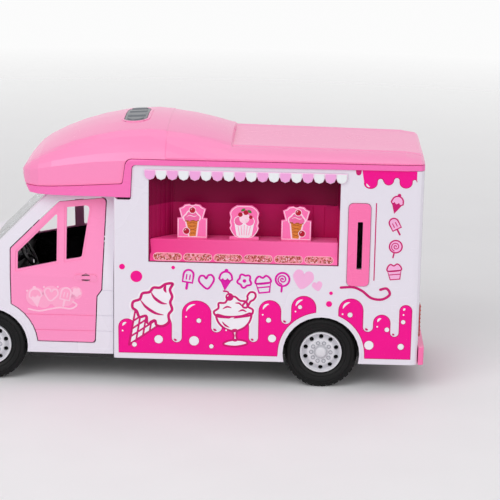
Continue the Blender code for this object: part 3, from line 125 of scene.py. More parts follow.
class Graph:
    """Adds and links the nodes of one shader tree."""

    def __init__(self, tree: Tree) -> None:
        """Keep the tree that the nodes go into."""
        self.tree = tree

    def feed(self, socket: Socket, value: Value) -> None:
        """Link a socket to another or set its value.

        Args:
            socket: the input.
            value: a socket to link or a value to set.
        """
        if isinstance(value, Socket):
            self.tree.links.new(value, socket)
        else:
            socket.default_value = value

    def add(self, kind: str, inputs: Optional[dict[Union[str, int], Value]] = None, operation: str = "") -> Node:
        """Add a node and feed its inputs.

        Args:
            kind: the shader node's type.
            inputs: a value or a socket for each input, by name or number.
            operation: what the node does, if it has a choice.

        Returns:
            The new node.
        """
        node = self.tree.nodes.new("ShaderNode" + kind)
        if operation:
            node.operation = operation
        for label, value in (inputs or {}).items():
            self.feed(node.inputs[label], value)
        return node

    def maths(self, operation: str, first: Value, second: Value = 0.0) -> Socket:
        """Return the result of a maths node."""
        return self.add("Math", {0: first, 1: second}, operation).outputs[0]

    def times(self, first: Value, second: Value) -> Socket:
        """Return a product."""
        return self.maths("MULTIPLY", first, second)

    def plus(self, first: Value, second: Value) -> Socket:
        """Return a sum."""
        return self.maths("ADD", first, second)

    def blend(self, factor: Value, first: Value, second: Value) -> Socket:
        """Return the mix of two colours.

        Args:
            factor: share of the second colour.
            first: first colour.
            second: second colour.

        Returns:
            The mixed colour.
        """
        node = self.add("Mix")
        node.data_type = "RGBA"
        for index, value in ((0, factor), (6, first), (7, second)):
            self.feed(node.inputs[index], value)
        return node.outputs[2]

    def ramp(self, value: Value, low: float, high: float) -> Socket:
        """Bring a value from a range to 0 to 1, kept within it."""
        return self.add("MapRange", {"Value": value, "From Min": low, "From Max": high}).outputs[0]

    def place(self, stretch: Triple = (1, 1, 1), centre: Triple = (0, 0, 0)) -> Socket:
        """Return object coordinates about a centre, stretched along each axis.

        Args:
            stretch: factor along each axis.
            centre: the point that becomes zero.

        Returns:
            The coordinates.
        """
        shift = [-c * s for c, s in zip(centre, stretch)]
        return self.add("Mapping", {"Vector": self.add("TexCoord").outputs["Object"], "Scale": stretch,
                                    "Location": shift}).outputs["Vector"]

    def reach(self, stretch: Triple = (1, 1, 1), centre: Triple = (0, 0, 0)) -> Socket:
        """Return the distance from a point, or from a line along an axis with no stretch."""
        return self.add("VectorMath", {0: self.place(stretch, centre)}, "LENGTH").outputs["Value"]

    def noise(self, scale: float, detail: float, stretch: Triple = (1, 1, 1)) -> Socket:
        """Return a noise value over stretched object coordinates."""
        made = self.add("TexNoise", {"Vector": self.place(stretch), "Scale": scale, "Detail": detail})
        return made.outputs["Fac"]

    def axis(self, name: str, kind: str = "Object") -> Socket:
        """Return one component of the object coordinates or of the surface's normal."""
        return self.add("SeparateXYZ", {"Vector": self.add("TexCoord").outputs[kind]}).outputs[name]

    def group(self, tree: Tree, inputs: dict[str, Value]) -> Node:
        """Add a shared node group and feed its inputs.

        Args:
            tree: the group.
            inputs: a value or a socket for each input.

        Returns:
            The group's node.
        """
        node = self.add("Group")
        node.node_tree = tree
        for label, value in inputs.items():
            self.feed(node.inputs[label], value)
        return node

    def give(self, result: Node, *values: Value) -> Tree:
        """Feed a group's outputs in their order and return its tree.

        Args:
            result: the group's output node.
            *values: what its sockets get, in order.

        Returns:
            The group's tree.
        """
        for socket, value in zip(result.inputs, values):
            self.feed(socket, value)
        return self.tree


def once(build: Callable[[str], Tree]) -> Callable[[], Tree]:
    """Let a function build its node group on the first call only, under the function's own name."""
    return lambda: bpy.data.node_groups.get(build.__name__) or build(build.__name__)


def new_tree(kind: str, name: str, inputs: dict[str, str], outputs: dict[str, str]) -> tuple[Tree, Node, Node]:
    """Make an empty node group with its sockets.

    Args:
        kind: Shader or Geometry.
        name: the group's name.
        inputs: type of each input by its label.
        outputs: type of each output by its label.

    Returns:
        The group, its input node and its output node.
    """
    tree = bpy.data.node_groups.new(name, kind + "NodeTree")
    for way, sockets in (("INPUT", inputs), ("OUTPUT", outputs)):
        for label, sort in sockets.items():
            tree.interface.new_socket(label, in_out=way, socket_type="NodeSocket" + sort)
    return tree, tree.nodes.new("NodeGroupInput"), tree.nodes.new("NodeGroupOutput")


SURFACE = {"Colour": "Color", "Roughness": "Float", "Height": "Float"}


@once
def moulded_surface(name: str) -> Tree:
    """Moulded plastic: flow mottling, scuffs along and up the piece, and a fine grain.

    Args:
        name: the group's name.

    Returns:
        The group.
    """
    tree, source, result = new_tree("Shader", name, {
        "Colour": "Color", "Roughness": "Float", "Mottle": "Float", "Grain": "Float", "Scuffs": "Float"}, SURFACE)
    graph, given = Graph(tree), source.outputs
    flow = graph.maths("SUBTRACT", graph.noise(16, 2), 0.5)
    lengthwise = graph.ramp(graph.noise(110, 3, (1, 14, 14)), 0.64, 0.78)
    upright = graph.ramp(graph.noise(170, 3, (16, 16, 1)), 0.66, 0.79)
    level = graph.maths("ABSOLUTE", graph.axis("Z", "Normal"))
    upright = graph.times(upright, graph.ramp(level, 0.6, 0.2))
    scuff = graph.times(graph.maths("MAXIMUM", lengthwise, upright), given["Scuffs"])
    value = graph.plus(graph.plus(graph.times(flow, given["Mottle"]), 1.0), graph.times(scuff, 0.10))
    bright = graph.add("HueSaturation", {"Color": given["Colour"], "Value": value})
    rough = graph.plus(graph.plus(given["Roughness"], graph.times(scuff, 0.35)), graph.times(flow, 0.10))
    height = graph.plus(graph.times(graph.noise(2600, 2), given["Grain"]), graph.times(scuff, -0.5))
    return graph.give(result, bright.outputs["Color"], rough, height)


@once
def settled_dust(name: str) -> Tree:
    """Dust that settles in patches on what faces up.

    Args:
        name: the group's name.

    Returns:
        The group.
    """
    tree, source, result = new_tree("Shader", name, {"Amount": "Float"}, {"Mask": "Float"})
    graph = Graph(tree)
    upward = graph.ramp(graph.axis("Z", "Normal"), 0.15, 1.0)
    patches = graph.times(upward, graph.ramp(graph.noise(70, 5), 0.38, 0.72))
    return graph.give(result, graph.times(patches, source.outputs["Amount"]))


@once
def printed_ink(name: str) -> Tree:
    """Screen printed ink: slightly cloudy, with flecks where it is thin and a fine orange peel.

    Args:
        name: the group's name.

    Returns:
        The group.
    """
    tree, source, result = new_tree("Shader", name, {
        "Colour": "Color", "Under": "Color", "Flecks": "Float", "Roughness": "Float"}, SURFACE)
    graph, given = Graph(tree), source.outputs
    cloud = graph.plus(graph.times(graph.noise(45, 3), 0.10), 0.95)
    fleck = graph.times(graph.ramp(graph.noise(1500, 3), 0.66, 0.74), given["Flecks"])
    deep = graph.add("HueSaturation", {"Color": given["Colour"], "Value": cloud})
    return graph.give(result, graph.blend(fleck, deep.outputs["Color"], given["Under"]),
                      graph.plus(given["Roughness"], graph.times(fleck, 0.25)),
                      graph.maths("SUBTRACT", graph.noise(900, 2), fleck))


@dataclass(frozen=True)
class Finish:
    """A moulded finish of the toy.

    Attributes:
        name: what the finish is called.
        colour: base colour as an sRGB hex code.
        roughness: mean roughness.
        grain: height of the fine grain, 0 to 1.
        mottle: strength of the flow mottling.
        scuffs: strength of the handling scuffs.
        dust: how much dust lies on what faces up.
        metallic: metallic value.
        coat: weight of the clear coat.
        transmission: weight of transmission, for clear pieces.
        specular: level of the plain reflection.
        bump: strength of the surface's bump.
    """

    name: str
    colour: str
    roughness: float = 0.30
    grain: float = 0.25
    mottle: float = 0.05
    scuffs: float = 0.22
    dust: float = 0.04
    metallic: float = 0.0
    coat: float = 0.0
    transmission: float = 0.0
    specular: float = 0.5
    bump: float = 0.22

    def base(self, graph: Graph) -> Value:
        """Return the colour before mottling and dust."""
        return tint(self.colour)

    def surface(self, graph: Graph) -> tuple[Value, Value, Value]:
        """Return the colour, roughness and height of the surface.

        Args:
            graph: the material's nodes.

        Returns:
            Colour, roughness and height.
        """
        made = graph.group(moulded_surface(), {
            "Colour": self.base(graph), "Roughness": self.roughness, "Mottle": self.mottle, "Grain": self.grain,
            "Scuffs": self.scuffs}).outputs
        mask = graph.group(settled_dust(), {"Amount": self.dust}).outputs["Mask"]
        colour = graph.blend(mask, made["Colour"], tint(DUST))
        return colour, graph.plus(made["Roughness"], graph.times(mask, DUST_ROUGHNESS)), made["Height"]

    def material(self) -> bpy.types.Material:
        """Return the node material of this finish, built on first use.

        Returns:
            The material.
        """
        label = "look_" + self.name
        if label in bpy.data.materials:
            return bpy.data.materials[label]
        made = bpy.data.materials.new(label)
        made.use_nodes = True
        graph = Graph(made.node_tree)
        colour, rough, height = self.surface(graph)
        bump = graph.add("Bump", {"Height": height, "Strength": self.bump, "Distance": BUMP_DEPTH})
        shader = made.node_tree.nodes["Principled BSDF"]
        for socket, value in (("Base Color", colour), ("Roughness", rough), ("Normal", bump.outputs["Normal"]),
                              ("Metallic", self.metallic), ("Coat Weight", self.coat), ("IOR", PLASTIC_IOR),
                              ("Transmission Weight", self.transmission), ("Specular IOR Level", self.specular)):
            graph.feed(shader.inputs[socket], value)
        return made


@dataclass(frozen=True)
class Stepped(Finish):
    """Plastic with painted shade above a level line, and painted light that brightens it along X below it.

    Attributes:
        above: colour of the painted shade over the line.
        level: height of the line in metres.
        bright: colour of the painted light at the far end.
        span: X of the near and the far end of the painted light, in metres.
    """

    above: str = "7E0038"
    level: float = 0.1214
    bright: str = "BE125E"
    span: Point = (-0.007, 0.118)

    def base(self, graph: Graph) -> Value:
        """Return the colour by height and along the piece, with its painted shade and light.

        Args:
            graph: the material's nodes.

        Returns:
            The colour.
        """
        # Painted light: lighter towards the far end along X.
        lower = graph.blend(graph.ramp(graph.axis("X"), *self.span), tint(self.colour), tint(self.bright))
        # Painted shade: darker above the level line.
        over = graph.ramp(graph.axis("Z"), self.level - 0.0002, self.level + 0.0002)
        return graph.blend(over, lower, tint(self.above))


@dataclass(frozen=True)
class Lined(Finish):
    """Door plastic whose inside faces are black below a sloping line under the windows.

    Attributes:
        start: X and Z of the black part's upper edge at its front end, in metres.
        slope: how much the edge rises for each metre back.
        lining: colour of the inside faces below the edge.
    """

    start: Point = (-0.0942, 0.0751)
    slope: float = 0.217
    lining: str = "0C0B0D"

    def base(self, graph: Graph) -> Value:
        """Return black on the inside faces below the edge and the plain colour elsewhere.

        Args:
            graph: the material's nodes.

        Returns:
            The colour.
        """
        edge = graph.times(graph.maths("SUBTRACT", graph.axis("X"), self.start[0]), self.slope)
        under = graph.maths("LESS_THAN", graph.axis("Z"), graph.plus(edge, self.start[1]))
        inward = graph.times(graph.axis("Y", "Normal"), graph.maths("SIGN", graph.axis("Y")))
        mask = graph.times(under, graph.maths("LESS_THAN", inward, -0.5))
        return graph.blend(mask, tint(self.colour), tint(self.lining))


@dataclass(frozen=True)
class Hub(Finish):
    """Rim plastic with painted shade, darker in the recessed ring of holes and round the hub.

    Attributes:
        hub: X of the axle in metres.
        rings: middle and half the width of each ring of painted shade.
        deep: colour of the painted shade.
        share: how strong the painted shade is.
    """

    hub: float = 0.0
    rings: tuple[Point, ...] = ((0.0106, 0.0022), (0.0042, 0.0010))
    deep: str = "9C9DA5"
    share: float = 0.55

    def base(self, graph: Graph) -> Value:
        """Return the colour by the distance from the axle, with painted shade in the rings.

        Args:
            graph: the material's nodes.

        Returns:
            The colour.
        """
        reach = graph.reach((1, 0, 1), (self.hub, 0, PLACES.tyre_r))
        colour: Value = tint(self.colour)
        # Painted shade: darker rings in the rim's recesses.
        for middle, half in self.rings:
            away = graph.maths("ABSOLUTE", graph.maths("SUBTRACT", reach, middle))
            within = graph.ramp(away, half, half * 0.3)
            colour = graph.blend(graph.times(within, self.share), colour, tint(self.deep))
        return colour


@dataclass(frozen=True)
class Framed(Finish):
    """The clear windscreen with a black band printed round it.

    Attributes:
        low: height of the clear part's lower edge, in metres.
        high: height of its upper edge.
        half: half the width of the clear part at its lower edge.
        taper: how much it narrows for each metre of height.
        band: colour of the band.
    """

    low: float = 0.0902
    high: float = 0.1216
    half: float = 0.0404
    taper: float = 0.193
    band: str = "050506"

    def base(self, graph: Graph) -> Value:
        """Return black on the band and the plain colour inside.

        Args:
            graph: the material's nodes.

        Returns:
            The colour.
        """
        height = graph.axis("Z")
        drawn_in = graph.times(graph.maths("SUBTRACT", height, self.low), self.taper)
        outward = graph.plus(graph.maths("ABSOLUTE", graph.axis("Y")), drawn_in)
        beside = graph.maths("GREATER_THAN", outward, self.half)
        over = graph.maths("MAXIMUM", graph.maths("LESS_THAN", height, self.low),
                           graph.maths("GREATER_THAN", height, self.high))
        return graph.blend(graph.maths("MAXIMUM", beside, over), tint(self.colour), tint(self.band))


@dataclass(frozen=True)
class Ink(Finish):
    """Printed ink over plastic or card.

    Attributes:
        specular: level of the plain reflection.
        under: colour that shows where the ink is thin.
        flecks: how much of it shows.
    """

    specular: float = 0.22
    under: str = "E9E5F0"
    flecks: float = 0.12

    def surface(self, graph: Graph) -> tuple[Value, Value, Value]:
        """Return the colour, roughness and height of the ink.

        Args:
            graph: the material's nodes.

        Returns:
            Colour, roughness and height.
        """
        made = graph.group(printed_ink(), {"Colour": self.base(graph), "Under": tint(self.under),
                                           "Flecks": self.flecks, "Roughness": self.roughness})
        return tuple(made.outputs[label] for label in SURFACE)


@dataclass(frozen=True)
class Speckle(Ink):
    """Printed strip with a dense speckle of chopped topping.

    Attributes:
        flakes: colours of the flakes.
        size: width of a flake in metres.
    """

    flakes: tuple[str, str] = ("A24A3C", "D98A86")
    size: float = 0.0008

    def base(self, graph: Graph) -> Value:
        """Return the speckled colour.

        Args:
            graph: the material's nodes.

        Returns:
            The colour.
        """
        cells = graph.add("TexVoronoi", {
            "Vector": graph.place((1, 1, 0.7)), "Scale": 1 / self.size, "Randomness": 1.0})
        pick = graph.add("SeparateColor", {"Color": cells.outputs["Color"]}).outputs
        flakes = graph.blend(graph.ramp(pick["Green"], 0.55, 0.62), *(tint(code) for code in self.flakes))
        return graph.blend(graph.ramp(pick["Red"], 0.42, 0.50), tint(self.colour), flakes)


@dataclass(frozen=True)
class Rubber(Finish):
    """Black tyre compound with fine rings about the axle.

    Attributes:
        hub: X of the axle in metres.
        fineness: radians of the rings' wave for each metre.
        depth: height of the rings.
    """

    hub: float = 0.0
    fineness: float = 9000.0
    depth: float = 0.35

    def surface(self, graph: Graph) -> tuple[Value, Value, Value]:
        """Return the colour, roughness and height of the tyre.

        Args:
            graph: the material's nodes.

        Returns:
            Colour, roughness and height.
        """
        colour, rough, height = super().surface(graph)
        reach = graph.reach((1, 0, 1), (self.hub, 0, PLACES.tyre_r))
        rings = graph.maths("SINE", graph.times(reach, self.fineness))
        return colour, rough, graph.plus(height, graph.times(rings, self.depth))


@dataclass(frozen=True)
class FloorPaint(Finish):
    """Pale floor paint that gives way to the background farther out.

    Attributes:
        near: distance from the truck where it begins to fade, in metres.
        far: distance where it is gone.
    """

    near: float = 0.45
    far: float = 1.5

    def material(self) -> bpy.types.Material:
        """Return the floor's material.

        Returns:
            The material.
        """
        made = super().material()
        graph, nodes = Graph(made.node_tree), made.node_tree.nodes
        mix = graph.add("MixShader", {0: graph.ramp(graph.reach(), self.near, self.far),
                                      1: nodes["Principled BSDF"].outputs[0],
                                      2: graph.add("BsdfTransparent").outputs[0]})
        graph.feed(nodes["Material Output"].inputs["Surface"], mix.outputs[0])
        return made


SOFT = {"grain": 0.08, "mottle": 0.03, "scuffs": 0.12, "dust": 0.02}
RIM = {"grain": 0.1, "mottle": 0.03}
TYRE = {"grain": 0.7, "mottle": 0.12, "dust": 0.03, "specular": 0.25}
LENS = {"grain": 0.05, "coat": 0.6, "dust": 0.0}
GLASS = {"grain": 0.0, "mottle": 0.0, "scuffs": 0.04, "dust": 0.0, "bump": 0.04}
WHITE = Finish("white_plastic", "E8E3EE", 0.27, grain=0.08, mottle=0.025, scuffs=0.07, dust=0.02)
ROOF = Finish("roof_pink_plastic", "FF8EC2", 0.25, grain=0.05, mottle=0.03, scuffs=0.08, dust=0.01)
DOOR = Lined("door_pink_plastic", "FF93C5", 0.26, **SOFT)
TRIM = Finish("trim_pink_plastic", "FB70BA", 0.27, **SOFT)
PANEL = Finish("panel_pink_plastic", "FF74B1", 0.27, **SOFT)
# Painted light: the counter is lighter towards its rear end.
COUNTER = Stepped("counter_plastic_painted_light", "F23A8C", 0.34, specular=0.22, bright="FF6CAE", above="FF6CAE", level=1.0,
                  span=(-0.007, 0.10))
# Painted shade on the upper back wall of the recess, and painted light towards its rear end.
NICHE = Stepped("niche_plastic_painted_shade_and_light", "A40A4E", 0.40, specular=0.12)
LILAC = Finish("awning_lilac", "F4A8E0", 0.34)
LILAC_EDGE = Finish("awning_edge_plastic", "F7D2EC", 0.34)
AWNING_WHITE = Finish("awning_white", "EDF0F3", 0.34, mottle=0.02)
BLACK = Finish("black_plastic", "151417", 0.44, grain=0.7, dust=0.06)
GLOSS_BLACK = Finish("gloss_black_plastic", "101012", 0.20, grain=0.1)
SILVER = Finish("silver_plastic", "74777D", 0.36, metallic=0.25, grain=0.1)
# Rims with painted shade in their recessed rings.
FRONT_RIM = Hub("front_rim_plastic", "DEDDE3", 0.30, hub=PLACES.front_axle, **RIM)
REAR_RIM = Hub("rear_rim_plastic", "DEDDE3", 0.30, hub=REAR_AXLE, **RIM)
LUG = Finish("lug_plastic", "A2A3AB", 0.35, grain=0.1)
# Painted shade: black for the discs set deep in the rim's holes.
HOLE_SHADE = Finish("hole_shade_black", "040405", 0.60, specular=0.1, dust=0.0)
CHROME = Finish("plated_plastic", "E4E6EA", 0.07, metallic=1.0, grain=0.0, scuffs=0.05, dust=0.0)
CLEAR = Finish("clear_plastic", "FFFFFF", 0.04, transmission=0.95, **GLASS)
SMOKED = Framed("screen_plastic", "C9CDD6", 0.04, transmission=0.9, **GLASS)
STEEL = Finish("axle_steel", "C9CBCE", 0.25, grain=0.1, metallic=1.0)
FRONT_RUBBER = Rubber("front_tyre_rubber", "0A0A0B", 0.55, hub=PLACES.front_axle, **TYRE)
REAR_RUBBER = Rubber("rear_tyre_rubber", "0A0A0B", 0.55, hub=REAR_AXLE, **TYRE)
RED = Finish("red_lens", "B80F1E", 0.12, **LENS)
AMBER = Finish("amber_lens", "F08A1E", 0.12, **LENS)
CARD = Ink("card_pink", "FF74B4", 0.42)
MAGENTA_INK = Ink("magenta_ink", "F60090", 0.30)
ROSE_INK = Ink("rose_ink", "CC1070", 0.30)
VIOLET_INK = Ink("violet_ink", "DC14A6", 0.26)
WHITE_INK = Ink("white_ink", "F3F0F6", 0.26)
BLUSH_INK = Ink("blush_ink", "F7B5DF", 0.28)
BADGE_HALO = Ink("badge_halo_ink", "FFA9CE", 0.30, under="FF93C5")
BADGE_INK = Ink("badge_ink", "FFC4DD", 0.28, under="FF8FBE")
BADGE_DEEP = Ink("badge_deep_ink", "FFA5CB", 0.28, under="FF8FBE")
ORANGE_INK = Ink("waffle_ink", "DE7F35", 0.42)
BROWN_INK = Ink("cocoa_ink", "A9521F", 0.42)
CHERRY_INK = Ink("cherry_ink", "B3122F", 0.38)
PALE_INK = Ink("pale_card_ink", "FFD3E6", 0.42)
SCOOP_INK = Ink("scoop_ink", "F26AA6", 0.40)
TUB_INK = Ink("tub_ink", "F6E4EE", 0.40)
LEAF_INK = Ink("leaf_ink", "4E7D3A", 0.42)
STRIP = Speckle("topping_strip", "EE8C9E", 0.40)
STRIP_EDGE = Ink("strip_edge", "FFB0C8", 0.40)
FLOOR = FloorPaint("floor_paint", "F3F2F4", 0.7, scuffs=0.0, dust=0.0)


class Wiring:
    """Adds and links the nodes of one Geometry Nodes tree that repeats a unit."""

    def __init__(self, name: str, inputs: dict[str, str]) -> None:
        """Make the tree with its unit, its other inputs and its finish."""
        self.tree, self.source, self.result = new_tree(
            "Geometry", name, {"Unit": "Geometry", **inputs, "Finish": "Material"}, {"Geometry": "Geometry"})

    def add(self, *kinds: str) -> list[Node]:
        """Add a node of each type."""
        return [self.tree.nodes.new(kind) for kind in kinds]

    def link(self, *pairs: tuple[Union[str, Socket], Socket]) -> None:
        """Link sockets in pairs; a name stands for the tree's own input."""
        for start, end in pairs:
            self.tree.links.new(self.source.outputs[start] if isinstance(start, str) else start, end)

    def close(self, instances: Socket) -> Tree:
        """Make the instances real, give them their finish and return the tree.

        Args:
            instances: the copies.

        Returns:
            The tree.
        """
        realize, finish = self.add("GeometryNodeRealizeInstances", "GeometryNodeSetMaterial")
        self.link((instances, realize.inputs["Geometry"]), ("Finish", finish.inputs["Material"]),
                  (realize.outputs["Geometry"], finish.inputs["Geometry"]),
                  (finish.outputs["Geometry"], self.result.inputs["Geometry"]))
        return self.tree


@once
def copies_in_a_grid(name: str) -> Tree:
    """Copies in columns and rows, each with its own step.

    Args:
        name: the group's name.

    Returns:
        The group.
    """
    wiring = Wiring(name, {"Columns": "Int", "Column Step": "Vector", "Rows": "Int", "Row Step": "Vector"})
    unit: Union[str, Socket] = "Unit"
    for count, step in (("Columns", "Column Step"), ("Rows", "Row Step")):
        line, copies = wiring.add("GeometryNodeMeshLine", "GeometryNodeInstanceOnPoints")
        wiring.link((count, line.inputs["Count"]), (step, line.inputs["Offset"]),
                    (line.outputs["Mesh"], copies.inputs["Points"]), (unit, copies.inputs["Instance"]))
        unit = copies.outputs["Instances"]
    return wiring.close(unit)


@once
def copies_in_a_ring(name: str) -> Tree:
    """Copies turned evenly about a line along Y; the unit is made about that line.

    Args:
        name: the group's name.

    Returns:
        The group.
    """
    wiring = Wiring(name, {"Count": "Int", "Centre": "Vector"})
    line, copies, index, share, angle, turn = wiring.add(
        "GeometryNodeMeshLine", "GeometryNodeInstanceOnPoints", "GeometryNodeInputIndex", "ShaderNodeMath",
        "ShaderNodeMath", "ShaderNodeCombineXYZ")
    line.inputs["Offset"].default_value = (0, 0, 0)
    share.operation, angle.operation = "DIVIDE", "MULTIPLY"
    angle.inputs[1].default_value = math.tau
    wiring.link(("Count", line.inputs["Count"]), ("Centre", line.inputs["Start Location"]),
                (line.outputs["Mesh"], copies.inputs["Points"]), ("Unit", copies.inputs["Instance"]),
                (index.outputs[0], share.inputs[0]), ("Count", share.inputs[1]),
                (share.outputs[0], angle.inputs[0]), (angle.outputs[0], turn.inputs["Y"]),
                (turn.outputs[0], copies.inputs["Rotation"]))
    return wiring.close(copies.outputs["Instances"])


def linked(name: str, mesh: Mesh) -> Obj:
    """Make an object of a mesh and put it in the scene.

    Args:
        name: the object's name.
        mesh: its mesh, lamp or camera.

    Returns:
        The object.
    """
    obj = bpy.data.objects.new(name, mesh)
    bpy.context.scene.collection.objects.link(obj)
    return obj


def plain(obj: Obj) -> Obj:
    """Turn an object's live modifiers into its own mesh and return the object.

    Args:
        obj: the object.

    Returns:
        The object.
    """
    bpy.context.view_layer.update()
    result = bpy.data.meshes.new_from_object(obj.evaluated_get(bpy.context.evaluated_depsgraph_get()))
    obj.modifiers.clear()
    obj.data = result
    return obj


def settle(obj: Obj, finish: Finish, body: str, *nodes: str) -> Obj:
    """Give a piece its finish and the body that it rides on.

    Args:
        obj: the finished piece.
        finish: its finish.
        body: the body in the record.
        nodes: the CAD nodes that it stands for.

    Returns:
        The piece.
    """
    obj.data.materials.clear()
    obj.data.materials.append(finish.material())
    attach(obj, body)
    if nodes:
        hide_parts(*nodes)
    LOG.info("%s on %s: %d faces", obj.name, body, len(obj.data.polygons))
    return obj


def shade(obj: Obj, angle: float = 32.0) -> Obj:
    """Shade a piece smooth with its edges over an angle in degrees kept sharp.

    Args:
        obj: the piece.
        angle: least angle of a sharp edge.

    Returns:
        The piece.
    """
    for polygon in obj.data.polygons:
        polygon.use_smooth = True
    obj.data.set_sharp_from_angle(angle=math.radians(angle))
    return obj


def mesh_of(name: str, bm: Form) -> Mesh:
    """Turn a bmesh of closed forms into a mesh that faces outward.

    Args:
        name: the mesh's name.
        bm: the closed forms, freed afterwards.

    Returns:
        The mesh.
    """
    bmesh.ops.recalc_face_normals(bm, faces=bm.faces)
    mesh = bpy.data.meshes.new(name)
    bm.to_mesh(mesh)
    bm.free()
    return mesh


def stitch(bm: Form, rings: Sequence[Sequence[bmesh.types.BMVert]], caps: bool = True) -> None:
    """Join rings of corners by quads and, with caps, close both ends.

    Args:
        bm: the bmesh that they are in.
        rings: rings with like numbers of corners.
        caps: whether the first and the last ring are filled.
    """
    for ring, following in zip(rings, rings[1:]):
        for i, corner in enumerate(ring):
            j = (i + 1) % len(ring)
            bm.faces.new((corner, ring[j], following[j], following[i]))
    if caps:
        bm.faces.new(rings[0])
        bm.faces.new(rings[-1])


def cut_by(obj: Obj, tools: Sequence[Obj]) -> Obj:
    """Cut tools out of a form, remove them and return the form.

    Args:
        obj: the form.
        tools: what is cut out of it.

    Returns:
        The form.
    """
    for tool in tools:
        cut = obj.modifiers.new("cut", "BOOLEAN")
        cut.operation, cut.solver, cut.object = "DIFFERENCE", "EXACT", tool
    plain(obj)
    for tool in tools:
        bpy.data.objects.remove(tool, do_unlink=True)
    return obj


def repeated(name: str, unit: Mesh, tree: Tree, finish: Finish, values: dict[str, object]) -> Obj:
    """Repeat a unit by a node tree.

    Args:
        name: the new piece's name.
        unit: the mesh that is repeated.
        tree: the node tree.
        finish: the finish that the tree sets.
        values: the tree's other inputs by name.

    Returns:
        The object, its mesh made plain.
    """
    obj = linked(name, unit)
    modifier = obj.modifiers.new("repeat", "NODES")
    modifier.node_group = tree
    values = {**values, "Finish": finish.material()}
    for item in tree.interface.items_tree:
        if item.item_type == "SOCKET" and item.in_out == "INPUT" and item.name in values:
            modifier[item.identifier] = values[item.name]
    return plain(obj)


def lay_out(name: str, unit: Mesh, finish: Finish, count: int, step: Triple, rows: int = 1,
            row_step: Triple = (0, 0, 0)) -> None:
    """Build a fixed piece of evenly laid copies.

    Args:
        name: the piece's name.
        unit: the mesh that is repeated.
        finish: its finish.
        count: copies in a row.
        step: way from one copy to the next.
        rows: number of rows.
        row_step: way from one row to the next.
    """
    obj = repeated(name, unit, copies_in_a_grid(), finish, {
        "Columns": count, "Column Step": step, "Rows": rows, "Row Step": row_step})
    settle(shade(obj), finish, "truck")


def block(low: Triple, high: Triple, edge: float, segments: int = 2) -> Mesh:
    """Return a closed block between two corners, with edges rounded by a width in some facets.

    Args:
        low: lowest corner.
        high: highest corner.
        edge: width of the rounded edges.
        segments: facets across an edge.

    Returns:
        The mesh.
    """
    bm = bmesh.new()
    bmesh.ops.create_cube(bm, size=1)
    size, middle = Vector(high) - Vector(low), (Vector(high) + Vector(low)) / 2
    for vert in bm.verts:
        vert.co = Vector(a * b for a, b in zip(vert.co, size)) + middle
    bmesh.ops.bevel(bm, geom=list(bm.edges), offset=edge, segments=segments, profile=0.5, affect="EDGES")
    return mesh_of("block", bm)


def turned(profile: Line, segments: int, centre: Triple = (0, 0, 0)) -> Mesh:
    """Make a solid of revolution about a line along Y.

    Args:
        profile: radius and Y of each point; ends on the axis stay there, any other profile is closed.
        segments: facets round the axis.
        centre: a point of the axis.

    Returns:
        The closed mesh.
    """
    bm = bmesh.new()
    rows = []
    for k in range(segments):
        angle = math.tau * k / segments
        rows.append([bm.verts.new((r * math.cos(angle), y, r * math.sin(angle))) for r, y in profile])
    count = len(profile)
    for row, following in zip(rows, [*rows[1:], rows[0]]):
        for i in range(count if profile[0][0] > 0 else count - 1):
            j = (i + 1) % count
            bm.faces.new((row[i], row[j], following[j], following[i]))
    bmesh.ops.remove_doubles(bm, verts=bm.verts, dist=1e-7)
    bmesh.ops.translate(bm, vec=Vector(centre), verts=bm.verts)
    return mesh_of("turned", bm)


def node_form(node: str) -> Form:
    """Copy a CAD node's mesh into a bmesh and merge its seams.

    Args:
        node: the CAD node.

    Returns:
        The bmesh.
    """
    bm = bmesh.new()
    bm.from_mesh(bpy.data.objects[node].data)
    bmesh.ops.remove_doubles(bm, verts=bm.verts, dist=WELD)
    return bm


def moulded_copy(name: str, node: str, width: float, angle: float = 28.0) -> Obj:
    """Copy a CAD node, round its edges and shade it.

    Args:
        name: the new piece's name.
        node: the CAD node to copy.
        width: width of the rounded edges in metres.
        angle: least edge angle that is rounded, in degrees.

    Returns:
        The new object, its mesh in place and its modifiers applied.
    """
    bm = node_form(node)
    bmesh.ops.dissolve_limit(bm, angle_limit=math.radians(FLAT_ANGLE), verts=bm.verts, edges=bm.edges)
    bmesh.ops.triangulate(bm, faces=[face for face in bm.faces if len(face.verts) > 4])
    obj = shade(linked(name, mesh_of(name, bm)), SMOOTH_ANGLE)
    bevel = obj.modifiers.new("edges", "BEVEL")
    bevel.width, bevel.segments = width, 2
    bevel.limit_method, bevel.angle_limit = "ANGLE", math.radians(angle)
    bevel.miter_outer = "MITER_ARC"
    bevel.use_clamp_overlap = True
    even = obj.modifiers.new("flats", "WEIGHTED_NORMAL")
    even.keep_sharp, even.mode = True, "FACE_AREA_WITH_ANGLE"
    return plain(obj)


def body_of(node: str) -> str:
    """Return the name of the body that carries a CAD node."""
    return next(name for name, body in frame["record"]["behaviour"]["bodies"].items() if node in body)


def arc(centre: Point, radius: float, start: float, end: float, steps: int, tall: Optional[float] = None) -> Path:
    """Return points of an arc between two angles in degrees.

    Args:
        centre: middle of the arc.
        radius: radius, or half the width of an oval arc.
        start: first angle.
        end: last angle.
        steps: number of facets.
        tall: half the height of an oval arc.

    Returns:
        The points in order.
    """
    rise = radius if tall is None else tall
    angles = [math.radians(start + (end - start) * k / steps) for k in range(steps + 1)]
    return [(centre[0] + radius * math.cos(a), centre[1] + rise * math.sin(a)) for a in angles]


